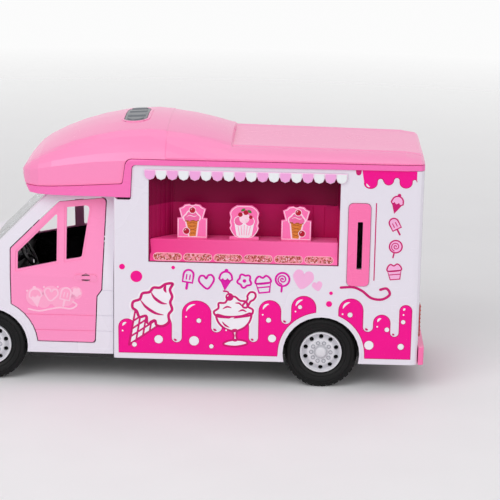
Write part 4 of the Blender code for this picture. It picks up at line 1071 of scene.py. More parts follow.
def smooth(points: Line, closed: bool = False, steps: int = 7) -> Path:
    """Return a smooth line through points.

    Args:
        points: the points that it passes.
        closed: whether it runs back to its start.
        steps: facets between two points.

    Returns:
        The points of the line.
    """
    count = len(points)
    line: Path = []
    for i in range(count if closed else count - 1):
        p = [points[(i + k) % count if closed else min(max(i + k, 0), count - 1)] for k in (-1, 0, 1, 2)]
        for t in (step / steps for step in range(steps)):
            line.append(tuple(0.5 * (2 * p[1][a] + (p[2][a] - p[0][a]) * t
                                     + (2 * p[0][a] - 5 * p[1][a] + 4 * p[2][a] - p[3][a]) * t * t
                                     + (3 * p[1][a] - p[0][a] - 3 * p[2][a] + p[3][a]) * t ** 3) for a in (0, 1)))
    return line if closed else line + [tuple(points[-1])]


def humps(breaks: Sequence[float], tops: Sequence[float], most: float, steps: int, first: int) -> Path:
    """Return the edge of melting ice cream: half ovals that bulge and hang in turn, joined by upright lines.

    Args:
        breaks: places of the upright lines.
        tops: level that each half oval reaches.
        most: greatest height of a half oval.
        steps: facets of a half oval.
        first: 1 if the first one bulges up, -1 if it hangs.

    Returns:
        The points from the first line to the last.
    """
    edge: Path = []
    for i, (left, right, top) in enumerate(zip(breaks, breaks[1:], tops)):
        half, way = (right - left) / 2, first * (-1) ** i
        tall = min(half, most)
        edge += arc((left + half, top - tall * way), half, 180, 180 - 180 * way, steps, tall)
    return edge


@dataclass(frozen=True)
class Face:
    """A flat face that carries a print, measured in millimetres across and up.

    Attributes:
        origin: the point where both measures are zero, in metres.
        across: direction of the first measure.
        up: direction of the second measure.
    """

    origin: Triple
    across: Triple
    up: Triple = UP

    def point(self, place: Point, height: float) -> Vector:
        """Return a point over the face.

        Args:
            place: its two measures in millimetres.
            height: its height over the face in metres.

        Returns:
            The point in metres.
        """
        across, up = Vector(self.across), Vector(self.up)
        flat = Vector(self.origin) + (across * place[0] + up * place[1]) * MM
        return flat + across.cross(up).normalized() * height


REAR_WALL = Face((PLACES.body_rear, 0, 0), (0, 1, 0))


@dataclass(frozen=True)
class Spot:
    """Place, turn in degrees and scale of a motif on its face."""

    u: float
    v: float
    turn: float = 0.0
    scale: float = 1.0

    def put(self, points: Line) -> Path:
        """Move points from the motif's own measures to the face's."""
        c, s = math.cos(math.radians(self.turn)) * self.scale, math.sin(math.radians(self.turn)) * self.scale
        return [(self.u + x * c - y * s, self.v + x * s + y * c) for x, y in points]


class Artwork:
    """Thin printed shapes on one face, gathered by finish; later layers stand further out."""

    BURIED = 0.00003
    PROUD = 0.00002
    PLY = 0.00002
    SHEET = 1e-7

    def __init__(self, name: str, face: Face, body: str = "truck") -> None:
        """Start an empty print; its name begins the names of its pieces.

        Args:
            name: beginning of its pieces' names.
            face: the face that it lies on.
            body: the body that it rides on.
        """
        self.name, self.face, self.body = name, face, body
        self.parts: dict[Finish, Form] = {}
        self.count = 0

    def begin(self, finish: Finish, ply: Ply) -> tuple[Form, float]:
        """Return the bmesh of a finish and the next shape's height, a hair over the last one of its layer.

        Args:
            finish: the shape's ink.
            ply: its layer.

        Returns:
            The bmesh and the height in metres.
        """
        if finish not in self.parts:
            self.parts[finish] = bmesh.new()
        self.count += 1
        return self.parts[finish], self.PROUD + self.PLY * ply + self.SHEET * self.count

    def patch(self, finish: Finish, ply: Ply, outline: Line) -> None:
        """Add a filled shape of one ink in one layer.

        Args:
            finish: its ink.
            ply: its layer.
            outline: its corners in order.
        """
        bm, height = self.begin(finish, ply)
        top, low = ([bm.verts.new(self.face.point(p, h)) for p in outline] for h in (height, -self.BURIED))
        for triangle in tessellate_polygon([[Vector((*p, 0)) for p in outline]]):
            if len(set(triangle)) == 3:
                bm.faces.new([top[i] for i in triangle])
                bm.faces.new([low[i] for i in reversed(triangle)])
        stitch(bm, (top, low), caps=False)

    def line(self, finish: Finish, ply: Ply, points: Line, width: float, closed: bool = False, taper: bool = False,
             rise: float = 0.0) -> None:
        """Add a line with round ends.

        Args:
            finish: its ink.
            ply: its layer.
            points: the points that it follows.
            width: its width.
            closed: whether it runs back to its start.
            taper: whether it thins out towards both ends.
            rise: how far it stands out beyond its layer, in metres.
        """
        bm, height = self.begin(finish, ply)
        height += rise
        spine = [Vector(p) for p in points]
        count = len(spine)
        stations = []
        for i, p in enumerate(spine):
            way = (spine[(i + 1) % count] if closed or i < count - 1 else p) - (spine[i - 1] if closed or i else p)
            share = math.sin(math.pi * (i + 0.4) / (count - 0.2)) if taper else 1.0
            stations.append((p, way.normalized() if way.length > 1e-9 else Vector((1, 0)), width / 2 * share))
        if not closed and not taper:
            def cap(end: tuple[Vector, Vector, float], sign: int) -> list[tuple[Vector, Vector, float]]:
                """Three narrowing stations beyond an end."""
                return [(end[0] + sign * end[1] * end[2] * math.sin(a), end[1], end[2] * math.cos(a))
                        for a in (math.radians(degrees) for degrees in (75, 50, 25))]
            stations = cap(stations[0], -1) + stations + cap(stations[-1], 1)[::-1]
        rings = []
        for p, way, half in stations:
            side = Vector((-way.y, way.x)) * half
            rings.append([bm.verts.new(self.face.point(tuple(q), h)) for q, h in (
                (p + side, height), (p - side, height), (p - side, -self.BURIED), (p + side, -self.BURIED))])
        stitch(bm, rings + rings[:1] if closed else rings, caps=not closed)

    def dot(self, finish: Finish, ply: Ply, centre: Point, radius: float) -> None:
        """Add a round spot."""
        self.patch(finish, ply, arc(centre, radius, *ROUND))

    def dots(self, finish: Finish, ply: Ply, rows: Sequence[Triple], flip: int = 1) -> None:
        """Add round spots, each given by its place and radius."""
        for u, v, radius in rows:
            self.dot(finish, ply, (u * flip, v), radius)

    def build(self) -> None:
        """Build one piece for each finish."""
        for finish, bm in self.parts.items():
            settle(linked("%s_%s" % (self.name, finish.name), mesh_of(self.name, bm)), finish, self.body)


@dataclass
class Motif:
    """Draws plain ice cream motifs at one place, in millimetres about their own origin.

    Attributes:
        art: the print that they go into.
        spot: place, turn and scale.
        ink: colour of the lines.
        fill: colour inside them, if any.
        width: width of the outlines.
    """

    art: Artwork
    spot: Spot
    ink: Finish
    fill: Optional[Finish] = None
    width: float = 1.2

    HEART = ((0, -4.6), (-3.4, -1.6), (-5.0, 1.6), (-3.7, 4.4), (-1.4, 4.3), (0, 2.4), (1.4, 4.3), (3.7, 4.4),
             (5.0, 1.6), (3.4, -1.6))
    SWIRL = ((-12.6, 25.6), (-14.4, 29.4), (-11.6, 33.6), (-12.2, 38.2), (-8.6, 41.8), (-8.0, 46.0), (-4.2, 48.6),
             (-2.2, 53.0), (1.8, 56.0), (2.6, 51.2), (6.6, 47.8), (7.8, 43.4), (11.6, 39.8), (11.6, 35.2),
             (14.6, 30.8), (12.8, 26.0), (8.6, 24.0), (5.6, 26.2), (2.4, 21.8), (-1.2, 25.6), (-4.8, 22.4),
             (-8.8, 25.0))
    SWIRL_FOLDS = (((-11.4, 33.6), (-5.0, 31.2), (3.0, 31.0), (9.0, 33.2)),
                   ((-8.0, 42.6), (-3.4, 40.2), (2.6, 39.8), (6.6, 41.4)),
                   ((-1.6, 52.6), (-0.8, 49.6), (1.6, 48.0)))
    SUNDAE = (
        ((6.8, 6.6), (10.6, 11.2), (10.8, 14.0), (13.0, 16.6), (16.0, 16.2), (16.8, 13.4), (15.0, 10.8), (12.8, 9.6),
         (9.6, 5.2)),
        ((-8.6, -21.2), (-7.6, -23.0), (0, -24.2), (7.6, -23.0), (8.6, -21.2), (5.2, -19.6), (0, -19.0),
         (-5.2, -19.6)),
        ((-1.3, -19.2), (-0.9, -15.6), (-1.5, -11.8), (1.5, -11.8), (0.9, -15.6), (1.3, -19.2)),
        ((-12.4, -0.4), (-14.4, 3.0), (-11.0, 5.6), (-10.4, 9.4), (-5.8, 9.6), (-3.0, 13.4), (1.6, 13.8), (5.0, 10.8),
         (9.6, 9.6), (10.8, 5.8), (14.2, 3.2), (12.6, -0.6), (6.0, -1.6), (0, -2.0), (-6.0, -1.6)),
        ((-12.6, 0.6), (-11.6, -5.0), (-7.4, -9.8), (-1.6, -12.2), (1.6, -12.2), (7.4, -9.8), (11.6, -5.0),
         (12.6, 0.6), (6.4, -0.9), (0, -1.4), (-6.4, -0.9)))
    SUNDAE_FOLDS = (((-8.0, 4.8), (-4.6, 6.4), (-1.2, 5.4)), ((1.4, 9.0), (4.6, 8.6), (6.6, 6.2)),
                    ((-8.8, -4.6), (-6.6, -7.6), (-3.6, -9.4)), ((3.4, 2.4), (6.8, 3.4), (9.6, 1.8)))

    def stroke(self, points: Line, width: float, taper: bool = False) -> None:
        """Draw a line of the motif's ink."""
        self.art.line(self.ink, Ply.INK, self.spot.put(points), width * self.spot.scale, taper=taper)

    def dab(self, centre: Point, radius: float) -> None:
        """Draw a round spot of the motif's ink over its lines."""
        self.art.dot(self.ink, Ply.SHINE, self.spot.put((centre,))[0], radius * self.spot.scale)

    def shape(self, outline: Line, width: float, fill: Optional[Finish], halo: Optional[Finish] = None) -> None:
        """Draw an outlined shape, with a colour inside it and a margin round it if any.

        Args:
            outline: its corners in order.
            width: width of its line.
            fill: colour inside it.
            halo: colour of the margin.
        """
        edge = self.spot.put(outline)
        if halo:
            self.art.line(halo, Ply.EDGE, edge, width * self.spot.scale + 1.9, closed=True)
        if fill:
            self.art.patch(fill, Ply.PAPER, edge)
        self.art.line(self.ink, Ply.INK, edge, width * self.spot.scale, closed=True)

    def cone(self, halo: Optional[Finish] = None) -> None:
        """A waffle cone with a swirl of soft ice, and a margin round it if it has a halo.

        Args:
            halo: colour of the margin.
        """
        half, tall, wall, rows = 11.4, 27.0, 0.16, 5
        rim = [(-half, tall), (-0.9, 0.8), (0, 0), (0.9, 0.8), (half, tall)]
        if halo:
            for part, closed in ((rim, False), (smooth(self.SWIRL, True), True)):
                self.art.line(halo, Ply.EDGE, self.spot.put(part), 4.4 * self.spot.scale, closed=closed)
        self.art.patch(self.ink, Ply.PAPER, self.spot.put(rim))
        for i in range(rows):
            for j in range(rows - 1 - i):
                corners = [((i + a) / rows, (j + b) / rows)
                           for a, b in ((wall, wall), (1 - wall, wall), (1 - wall, 1 - wall), (wall, 1 - wall))]
                cell = [((b - a) * half, (a + b) * tall + 1.4) for a, b in corners]
                self.art.patch(self.fill, Ply.INK, self.spot.put(cell))
        self.shape(smooth(self.SWIRL, True, 6), 1.95, self.fill)
        for fold in self.SWIRL_FOLDS:
            self.stroke(smooth(fold), 2.1, True)

    def sundae(self, halo: Finish) -> None:
        """A footed glass heaped with ice cream, a cherry on top and a spoon in it.

        Args:
            halo: colour of the margin.
        """
        for outline in self.SUNDAE:
            self.shape(smooth(outline, True, 6), 1.55, self.fill, halo)
        cherry = (-2.4, 13.8)
        self.shape(arc(cherry, 2.6, 0, 340, 17), 0.8, self.ink, halo)
        self.stroke(smooth(((-2.4, 15.8), (-3.6, 17.8), (-6.4, 18.4))), 1.2)
        shine = self.spot.put(arc(cherry, 1.5, 110, 170, 6))
        self.art.line(self.fill, Ply.SHINE, shine, 0.7 * self.spot.scale, taper=True)
        for fold in self.SUNDAE_FOLDS:
            self.stroke(smooth(fold), 1.4, True)

    def heart(self) -> None:
        """A plain heart."""
        self.shape(smooth(self.HEART, True, 6), self.width, self.fill)

    def lolly(self) -> None:
        """An ice lolly on a stick."""
        self.shape([(-3.3, -1.8), *arc((0, 3.3), 3.3, 180, 0, 12), (3.3, -1.8)], self.width, self.fill)
        self.stroke(((0, -2.2), (0, -6.2)), self.width * 1.25)
        for x in (-1.1, 1.1):
            self.stroke(((x, 0.2), (x, 3.2)), self.width * 0.65)

    def scoop(self) -> None:
        """A ball of ice cream in a small cone."""
        self.shape(((-3.4, 0.4), (0, -6.4), (3.4, 0.4)), self.width * 0.8, self.ink)
        ball = [(-4.3, 1.2), *arc((0, 2.2), 4.0, 175, 5, 12), (4.3, 1.2), (2.6, -0.2), (1.2, 1.2), (-0.4, -0.6),
                (-2.0, 1.0), (-3.2, -0.2)]
        self.shape(ball, self.width, self.fill)
        self.dab((0, 6.9), 1.25)

    def tub(self) -> None:
        """A paper tub with two balls."""
        balls = ((-4.4, 0.2), (-4.6, 3.0), (-2.4, 5.0), (0, 3.8), (2.4, 5.0), (4.6, 3.0), (4.4, 0.2))
        self.shape(smooth(balls, True, 5), self.width, self.fill)
        self.shape(((-4.8, 0.2), (-3.4, -6.2), (3.4, -6.2), (4.8, 0.2)), self.width, self.fill)
        self.stroke(((-3.9, -2.6), (3.9, -2.6)), self.width * 0.7)

    def whirl(self) -> None:
        """A round lollipop with a spiral."""
        self.shape(arc((0, 1.8), 4.5, *ROUND), self.width, self.fill)
        turns = [(r * math.cos(a), 1.8 + r * math.sin(a)) for r, a in
                 ((0.3 + 3.0 * k / 26, math.radians(24 * k)) for k in range(27))]
        self.stroke(turns, self.width * 0.7)
        self.stroke(((0, -3.2), (0, -6.4)), self.width)

    def flower(self) -> None:
        """A flower of five round petals."""
        edge = []
        for angle in (math.tau * k / 60 for k in range(60)):
            reach = 4.2 + 0.6 * math.sin(5 * angle - math.pi)
            edge.append((reach * math.cos(angle), reach * math.sin(angle)))
        self.shape(edge, self.width, self.fill)
        self.dab((0, 0), 1.2)


@dataclass
class FlankPrint:
    """What the prints on the two sides share: places in millimetres back from the front axle and up.

    Attributes:
        side: the side that carries it.
    """

    side: Side

    def start_on(self, name: str, half: float, body: str) -> Artwork:
        """Start the print on a face half a width out from the middle."""
        sign = self.side.value
        return Artwork(name + self.side.word, Face((PLACES.front_axle, sign * half, 0), (-sign, 0, 0)), body)

    def put(self, points: Line) -> Path:
        """Turn stations into the face's measure."""
        return [(-self.side.value * x, y) for x, y in points]

    def spot(self, u: float, v: float, turn: float = 0.0, scale: float = 1.0) -> Spot:
        """Return a motif's place, given by its station and height."""
        return Spot(-self.side.value * u, v, -self.side.value * turn, scale)


@dataclass
class SidePrint(FlankPrint):
    """The print on one side of the body.

    Attributes:
        start: front end of the wave.
        end: rear end of the wave.
        margin: outer radius of the plain margin round the wheel arch.
        base: lower edge of the wave.
        bulge: greatest height of a hump's round end.
    """

    start: float = 86.0
    end: float = 279.0
    margin: float = 28.8
    base: float = 21.9
    bulge: float = 8.5

    WAVE = (((86.0, 97.0, 103.0, 121.0, 128.0, 147.0, 154.5, 172.0, 178.5, 193.0, 200.0, 216.0),
             (45.0, 35.0, 50.0, 29.5, 58.5, 37.0, 50.0, 31.0, 60.0, 44.0, 63.5)),
            ((231.0, 247.0, 254.0, 265.0, 271.0, 279.0), (62.5, 40.0, 52.0, 37.0, 59.0)))
    BUBBLES = ((112.5, 31.5, 3.0), (139.0, 45.0, 1.7), (136.0, 31.0, 3.4), (147.5, 27.5, 1.6), (185.0, 46.5, 1.8),
               (187.5, 34.0, 2.8), (205.5, 56.0, 1.5), (238.5, 51.5, 1.8), (251.5, 31.0, 3.2), (263.0, 42.0, 1.7),
               (272.5, 30.5, 2.2), (96.5, 27.5, 1.7), (273.5, 47.5, 1.6))
    CURL = ((232.0, 70.0), (240.0, 70.4), (246.0, 68.0), (252.0, 63.4), (259.0, 62.6), (264.0, 66.0), (262.0, 70.0),
            (257.8, 69.2))

    def build(self) -> None:
        """Draw the whole side and build its pieces."""
        art = self.start_on("side_print_", PLACES.body_half, "truck")
        self.wave(art)
        self.motifs(art)
        self.drips(art)
        art.build()

    def wave(self, art: Artwork) -> None:
        """Draw the melt wave in front of and behind the wheel arch.

        Args:
            art: the side's print.
        """
        wheel = (PLACES.wheelbase / MM, PLACES.tyre_r / MM)
        low = math.degrees(math.asin((wheel[1] - self.base) / self.margin))
        for (breaks, tops), behind in zip(self.WAVE, (False, True)):
            lean = math.degrees(math.acos((breaks[0 if behind else -1] - wheel[0]) / self.margin))
            edge = humps(breaks, tops, self.bulge, 14, 1)
            if behind:
                outline = [*edge, (self.end, self.base), *arc(wheel, self.margin, -low, lean, 22)]
            else:
                outline = [(self.start, self.base), *edge, *arc(wheel, self.margin, lean, 180 + low, 22)]
            art.patch(MAGENTA_INK, Ply.FLOOD, self.put(outline))
            art.line(ROSE_INK, Ply.PAPER, self.put(outline), 0.55, closed=True)
        for breaks, tops in self.WAVE:
            for i, (left, right, top) in enumerate(zip(breaks, breaks[1:], tops)):
                self.shine(art, left, (right - left) / 2, top, i % 2 == 0)
        for u, v, radius in self.BUBBLES:
            centre = self.put([(u, v)])[0]
            art.dot(WHITE_INK, Ply.SHINE, centre, radius)
            art.line(ROSE_INK, Ply.SHINE, arc(centre, radius, *ROUND), 0.35, closed=True)

    def shine(self, art: Artwork, left: float, half: float, top: float, hump: bool) -> None:
        """Draw the white shine and spot on a hump, or the dark mark at the foot of a gap.

        Args:
            art: the side's print.
            left: station where the hump or gap begins.
            half: half its width.
            top: level that it reaches.
            hump: whether it is a hump.
        """
        if hump:
            tall = min(half, self.bulge)
            centre = (left + half, top - tall)
            shine = arc(centre, max(half - 2.6, 1.6), 168, 98, 8, max(tall - 2.4, 1.6))
            art.line(WHITE_INK, Ply.SHINE, self.put(shine), 1.5, taper=True)
            art.dot(WHITE_INK, Ply.SHINE, self.put([(centre[0] - half + 2.6, centre[1] - 2.6)])[0], 0.55)
        else:
            mark = arc((left + half, top + half), half - 1.6, 205, 275, 8)
            art.line(ROSE_INK, Ply.SHINE, self.put(mark), 1.5, taper=True)

    def motifs(self, art: Artwork) -> None:
        """Draw the motifs over and above the wave.

        Args:
            art: the side's print.
        """
        Motif(art, self.spot(92.5, 26.5, -32, 0.93), ROSE_INK, WHITE_INK).cone(WHITE_INK)
        Motif(art, self.spot(162.0, 49.5, 4, 0.90), ROSE_INK, WHITE_INK).sundae(WHITE_INK)
        row = (Motif.lolly, Motif.heart, Motif.scoop, Motif.flower, Motif.tub, Motif.whirl)
        for k, draw in enumerate(row):
            lift, turn = ((0.6, -8), (-0.8, 7), (0.4, -4))[k % 3]
            draw(Motif(art, self.spot(131.5 + 12.4 * k, 72.3 + lift, turn), VIOLET_INK, None, 1.35))
        for u, v, turn, scale in ((207.0, 74.6, -10, 1.25), (216.6, 70.4, 14, 0.62)):
            Motif(art, self.spot(u, v, turn, scale), BLUSH_INK, BLUSH_INK, 1.0).heart()
        art.dots(MAGENTA_INK, Ply.INK, ((88.2, 80.6, 1.9), (97.6, 74.2, 3.9), (224.5, 58.6, 2.0), (225.6, 66.0, 1.2),
                                        (121.8, 80.8, 1.2)), -self.side.value)
        column = ((Motif.scoop, -14), (Motif.lolly, 28), (Motif.whirl, -12), (Motif.tub, 6))
        for k, (draw, turn) in enumerate(column):
            draw(Motif(art, self.spot(266.5, 126.5 - 14.8 * k, turn, 0.92), ROSE_INK, BLUSH_INK, 1.0))
        art.line(ROSE_INK, Ply.INK, self.put([(253.4, 127.0), (253.4, 75.5)]), 0.7)
        art.line(ROSE_INK, Ply.INK, self.put(smooth(self.CURL)), 1.7)

    def drips(self, art: Artwork) -> None:
        """Draw the drips that hang under the roof's edge.

        Args:
            art: the side's print.
        """
        top = PLACES.body_top / MM - 0.25
        edge = humps((245.0, 253.5, 257.5, 264.0, 268.0, 276.0, self.end),
                     (136.8, 143.6, 139.4, 144.4, 137.6, 143.4), 3.6, 10, -1)
        art.patch(MAGENTA_INK, Ply.FLOOD, self.put([(self.end, top), (243.6, top), *edge]))
        art.line(ROSE_INK, Ply.PAPER, self.put(edge), 0.5)
        art.line(WHITE_INK, Ply.SHINE, self.put(arc((249.2, 140.6), 2.7, 190, 262, 7)), 1.0, taper=True)
        small = [(239.4, top), *arc((241.3, 147.0), 1.7, 180, 360, 8), (243.2, top)]
        art.patch(ROSE_INK, Ply.FLOOD, self.put(small))


class RearPrint:
    """The print on the rear wall, in millimetres across and up."""

    BREAKS = (-50.0, -38.0, -32.0, -17.0, -11.0, 6.0, 12.0, 24.0, 30.0, 42.0, 46.0, 50.0)
    LEVELS = (131.0, 140.0, 125.0, 138.0, 130.0, 140.5, 122.0, 137.0, 132.0, 140.0, 136.0)

    def build(self) -> None:
        """Draw the drips, a cone, a heart and a lollipop, and build the pieces."""
        art = Artwork("rear_print", REAR_WALL)
        top = PLACES.body_top / MM - 0.3
        edge = humps(self.BREAKS, self.LEVELS, 6.0, 10, -1)
        art.patch(MAGENTA_INK, Ply.FLOOD, [(self.BREAKS[-1], top), (self.BREAKS[0], top), *edge])
        art.line(ROSE_INK, Ply.PAPER, edge, 0.55)
        for centre in ((-26.0, 131.0), (16.5, 128.5), (-4.0, 136.0)):
            art.line(WHITE_INK, Ply.SHINE, arc(centre, 4.2, 190, 255, 7), 1.3, taper=True)
        Motif(art, Spot(0, 68.0, -14, 0.86), ROSE_INK, WHITE_INK).cone()
        Motif(art, Spot(-33.0, 103.0, 12, 1.3), VIOLET_INK, BLUSH_INK).heart()
        Motif(art, Spot(33.0, 96.0, -12, 1.5), VIOLET_INK).whirl()
        art.dots(MAGENTA_INK, Ply.INK, ((-40.0, 86.0, 2.6), (-24.0, 88.0, 1.6), (41.0, 114.0, 2.2),
                                        (22.0, 112.0, 1.5), (-18.0, 112.0, 1.3)))
        art.build()


@dataclass
class DoorBadge(FlankPrint):
    """The pale print on a cab door, and a painted shading line round the handle.

    Attributes:
        handle: station and height of the middle of the handle.
        pad: half the width and height of the painted shading line round the handle.
    """

    handle: Point = (64.1, 71.8)
    pad: Point = (7.6, 2.3)

    CURL = ((26.0, 49.6), (33.0, 48.4), (40.0, 49.8), (47.0, 51.0), (54.0, 50.4), (58.0, 53.0), (55.6, 55.2))

    def build(self) -> None:
        """Draw the row of motifs, the painted shading line round the handle and a curl, and build the pieces."""
        flip = -self.side.value
        art = self.start_on("door_badge_", PLACES.cab_half, "door_" + self.side.word)
        art.dots(BADGE_HALO, Ply.HALO, ((31.0, 58.0, 6.6), (41.0, 59.4, 6.4), (50.4, 58.6, 6.6), (57.4, 61.4, 4.4),
                                        (36.0, 55.0, 4.6), (45.6, 55.6, 4.6)), flip)
        for draw, u, v, turn, scale, fill in (
                (Motif.scoop, 31.0, 57.4, 8, 0.98, BADGE_DEEP), (Motif.heart, 41.0, 59.6, -8, 0.90, BADGE_DEEP),
                (Motif.lolly, 50.4, 58.2, -12, 0.98, BADGE_DEEP), (Motif.flower, 58.0, 61.8, 0, 0.6, BADGE_INK)):
            draw(Motif(art, self.spot(u, v, turn, scale), BADGE_INK, fill, 1.1))
        # Painted shading: a pale line round the handle stands in for the light and shade of its moulded edge.
        (x, z), (wide, tall) = self.handle, self.pad
        x *= flip
        outline = [*arc((x + wide - tall, z), tall, 90, -90, 8), *arc((x - wide + tall, z), tall, -90, -270, 8)]
        art.line(BADGE_DEEP, Ply.EDGE, outline, 0.3, closed=True)
        art.line(BADGE_INK, Ply.INK, self.put(smooth(self.CURL)), 1.1)
        art.dots(BADGE_INK, Ply.INK, ((25.2, 62.0, 0.7), (45.6, 65.2, 0.7), (36.4, 64.8, 0.7)), flip)
        art.build()


@dataclass
class Awning:
    """The scalloped strip over the serving window.

    Attributes:
        scallops: number of scallops.
        start: station of the front end in millimetres.
        end: station of the rear end.
        low: height of the scallops' lowest points.
        high: height of the upper edge.
        relief: how far a scallop's pad stands out, in metres.
        gap: distance from a pad to the line between two scallops.
        lip: plain strip over the pads.
    """

    scallops: int = 18
    start: float = 102.6
    end: float = 234.2
    low: float = 139.4
    high: float = 146.2
    relief: float = 0.0004
    gap: float = 0.42
    lip: float = 0.45

    def build(self) -> None:
        """Build the strip and the raised pads of both colours."""
        settle(moulded_copy("awning_strip", "awning", 0.0002), LILAC_EDGE, "truck", "awning")
        pitch = (self.end - self.start) / self.scallops
        face = Face((PLACES.front_axle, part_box("awning")[0][1], 0), (1, 0, 0))
        for first, finish, name in ((0, LILAC, "awning_scallops_pink"),
                                    (1, AWNING_WHITE, "awning_scallops_white")):
            unit = self.pad(face, self.start + pitch * (first + 0.5), pitch / 2 - self.gap, self.low + pitch / 2)
            lay_out(name, unit, finish, self.scallops // 2, (pitch * 2 * MM, 0, 0))

    def pad(self, face: Face, middle: float, half: float, drop: float) -> Mesh:
        """Make one raised pad with a softly rounded edge.

        Args:
            face: the strip's front face.
            middle: station of the pad's middle.
            half: half its width.
            drop: height where its round end begins.

        Returns:
            The closed mesh.
        """
        bm = bmesh.new()
        rings = []
        for inset, height in ((0.0, -0.0001), (0.0, self.relief * 0.55), (0.28, self.relief)):
            top = self.high - self.lip - inset
            outline = [(middle - half + inset, top), *arc((middle, drop), half - inset, 180, 360, 12),
                       (middle + half - inset, top)]
            rings.append([bm.verts.new(face.point(p, height)) for p in outline])
        stitch(bm, rings)
        return mesh_of("pad", bm)


class Cards:
    """The prints on the three display cards, in millimetres about each card's foot."""

    STATIONS = {"sign_front": 133.75, "sign_middle": 167.75, "sign_rear": 201.75}
    FOLDED = ((9.2, 0.7), (9.2, 12.6), (6.4, 13.0), (8.1, 19.3), (5.8, 20.3), (4.6, 21.6), (2.0, 22.1), (0, 21.4),
              (-2.0, 22.1), (-4.6, 21.6), (-5.8, 20.3), (-8.1, 19.3), (-6.4, 13.0), (-9.2, 12.6), (-9.2, 0.7))
    CREAM = ((-4.6, 12.2), (-5.0, 14.2), (-3.4, 15.8), (-2.2, 17.4), (0, 18.0), (2.4, 17.2), (3.6, 15.6), (5.0, 14.0),
             (4.6, 12.2), (2.4, 11.4), (0.6, 12.2), (-1.6, 11.2), (-3.0, 12.2))
    ROUNDED = ((5.4, 1.6), (8.8, 6.4), (8.3, 9.0), (9.0, 11.6), (8.5, 14.4), (8.9, 17.4), (7.4, 19.8), (4.4, 21.7),
               (0, 21.8), (-4.4, 21.7), (-7.4, 19.8), (-8.9, 17.4), (-8.5, 14.4), (-9.0, 11.6), (-8.3, 9.0),
               (-8.8, 6.4), (-5.4, 1.6), (0, 1.2))

    def build(self) -> None:
        """Build the cards and their prints."""
        for name, station in self.STATIONS.items():
            settle(moulded_copy(name + "_card", name, 0.0001), CARD, "truck", name)
            foot = (PLACES.front_axle + station * MM, -PLACES.card_face, PLACES.counter_top + 0.0003)
            art = Artwork(name + "_print", Face(foot, (1, 0, 0)))
            if name == "sign_middle":
                self.tub(art)
            else:
                self.cornet(art, 1 if name == "sign_front" else -1)
            art.build()

    def cornet(self, art: Artwork, hand: int) -> None:
        """Draw a filled cornet with cherries over a folded card; the hand turns it about.

        Args:
            art: the card's print.
            hand: 1 as drawn, -1 mirrored.
        """
        art.line(PALE_INK, Ply.HALO, self.FOLDED, 0.55, closed=True)
        spot = Spot(0.4 * hand, 0, 3 * hand)
        cone = spot.put([(-3.9, 12.0), (-2.0, 1.2), (2.0, 1.2), (3.9, 12.0)])
        art.line(PALE_INK, Ply.EDGE, cone, 2.2, closed=True)
        art.patch(ORANGE_INK, Ply.FLOOD, cone)
        for z in (2.6 + 2.3 * k for k in range(4)):
            half = 2.0 + (z - 1.2) * 0.176 - 0.4
            for rise in (0.0, 1.4):
                art.line(BROWN_INK, Ply.PAPER, spot.put(((-half, z + rise), (half, z + 1.4 - rise))), 0.32)
        art.line(BROWN_INK, Ply.PAPER, spot.put(((-4.1, 11.6), (4.1, 11.6))), 0.9)
        cream = spot.put(smooth(self.CREAM, True, 5))
        art.line(PALE_INK, Ply.EDGE, cream, 1.8, closed=True)
        art.patch(SCOOP_INK, Ply.PAPER, cream)
        fold = spot.put(smooth(((-3.6, 14.2), (-1.4, 15.2), (1.6, 14.4), (3.6, 15.0))))
        art.line(PALE_INK, Ply.INK, fold, 0.5, taper=True)
        for u, v, radius in ((0.6, 18.6, 1.9), (-4.0 * hand, 4.8, 2.0)):
            centre = spot.put(((u, v),))[0]
            art.dot(PALE_INK, Ply.INK, centre, radius + 0.45)
            art.dot(CHERRY_INK, Ply.SHINE, centre, radius)
            art.line(PALE_INK, Ply.SHINE, arc(centre, radius * 0.55, 100, 170, 5), 0.45, taper=True)

    def tub(self, art: Artwork) -> None:
        """Draw a white tub with three balls, fruit and leaves.

        Args:
            art: the card's print.
        """
        art.line(PALE_INK, Ply.HALO, smooth(self.ROUNDED, True, 4), 0.5, closed=True)
        body = [(-6.0, 10.4), (-4.2, 2.6), (-2.4, 1.7), (2.4, 1.7), (4.2, 2.6), (6.0, 10.4)]
        art.line(WHITE_INK, Ply.EDGE, body, 1.6, closed=True)
        art.patch(TUB_INK, Ply.FLOOD, body)
        for k in range(-2, 3):
            art.line(CARD, Ply.PAPER, ((k * 1.5, 2.8), (k * 2.1, 9.4)), 0.35)
        for u, v, radius, ink in ((-3.4, 12.0, 3.0, SCOOP_INK), (3.4, 12.0, 3.0, CARD), (0, 13.8, 3.3, PALE_INK)):
            art.dot(WHITE_INK, Ply.PAPER, (u, v), radius + 0.4)
            art.dot(ink, Ply.INK, (u, v), radius)
        art.dots(CHERRY_INK, Ply.SHINE, ((-2.6, 16.4, 1.5), (1.0, 17.8, 1.6), (4.2, 14.8, 1.2)))
        leaf = smooth(((-1.6, 0), (0, 0.9), (1.6, 0), (0, -0.9)), True, 4)
        for spot in (Spot(-0.8, 19.6, 30), Spot(3.4, 18.6, -35)):
            art.patch(LEAF_INK, Ply.SHINE, spot.put(leaf))


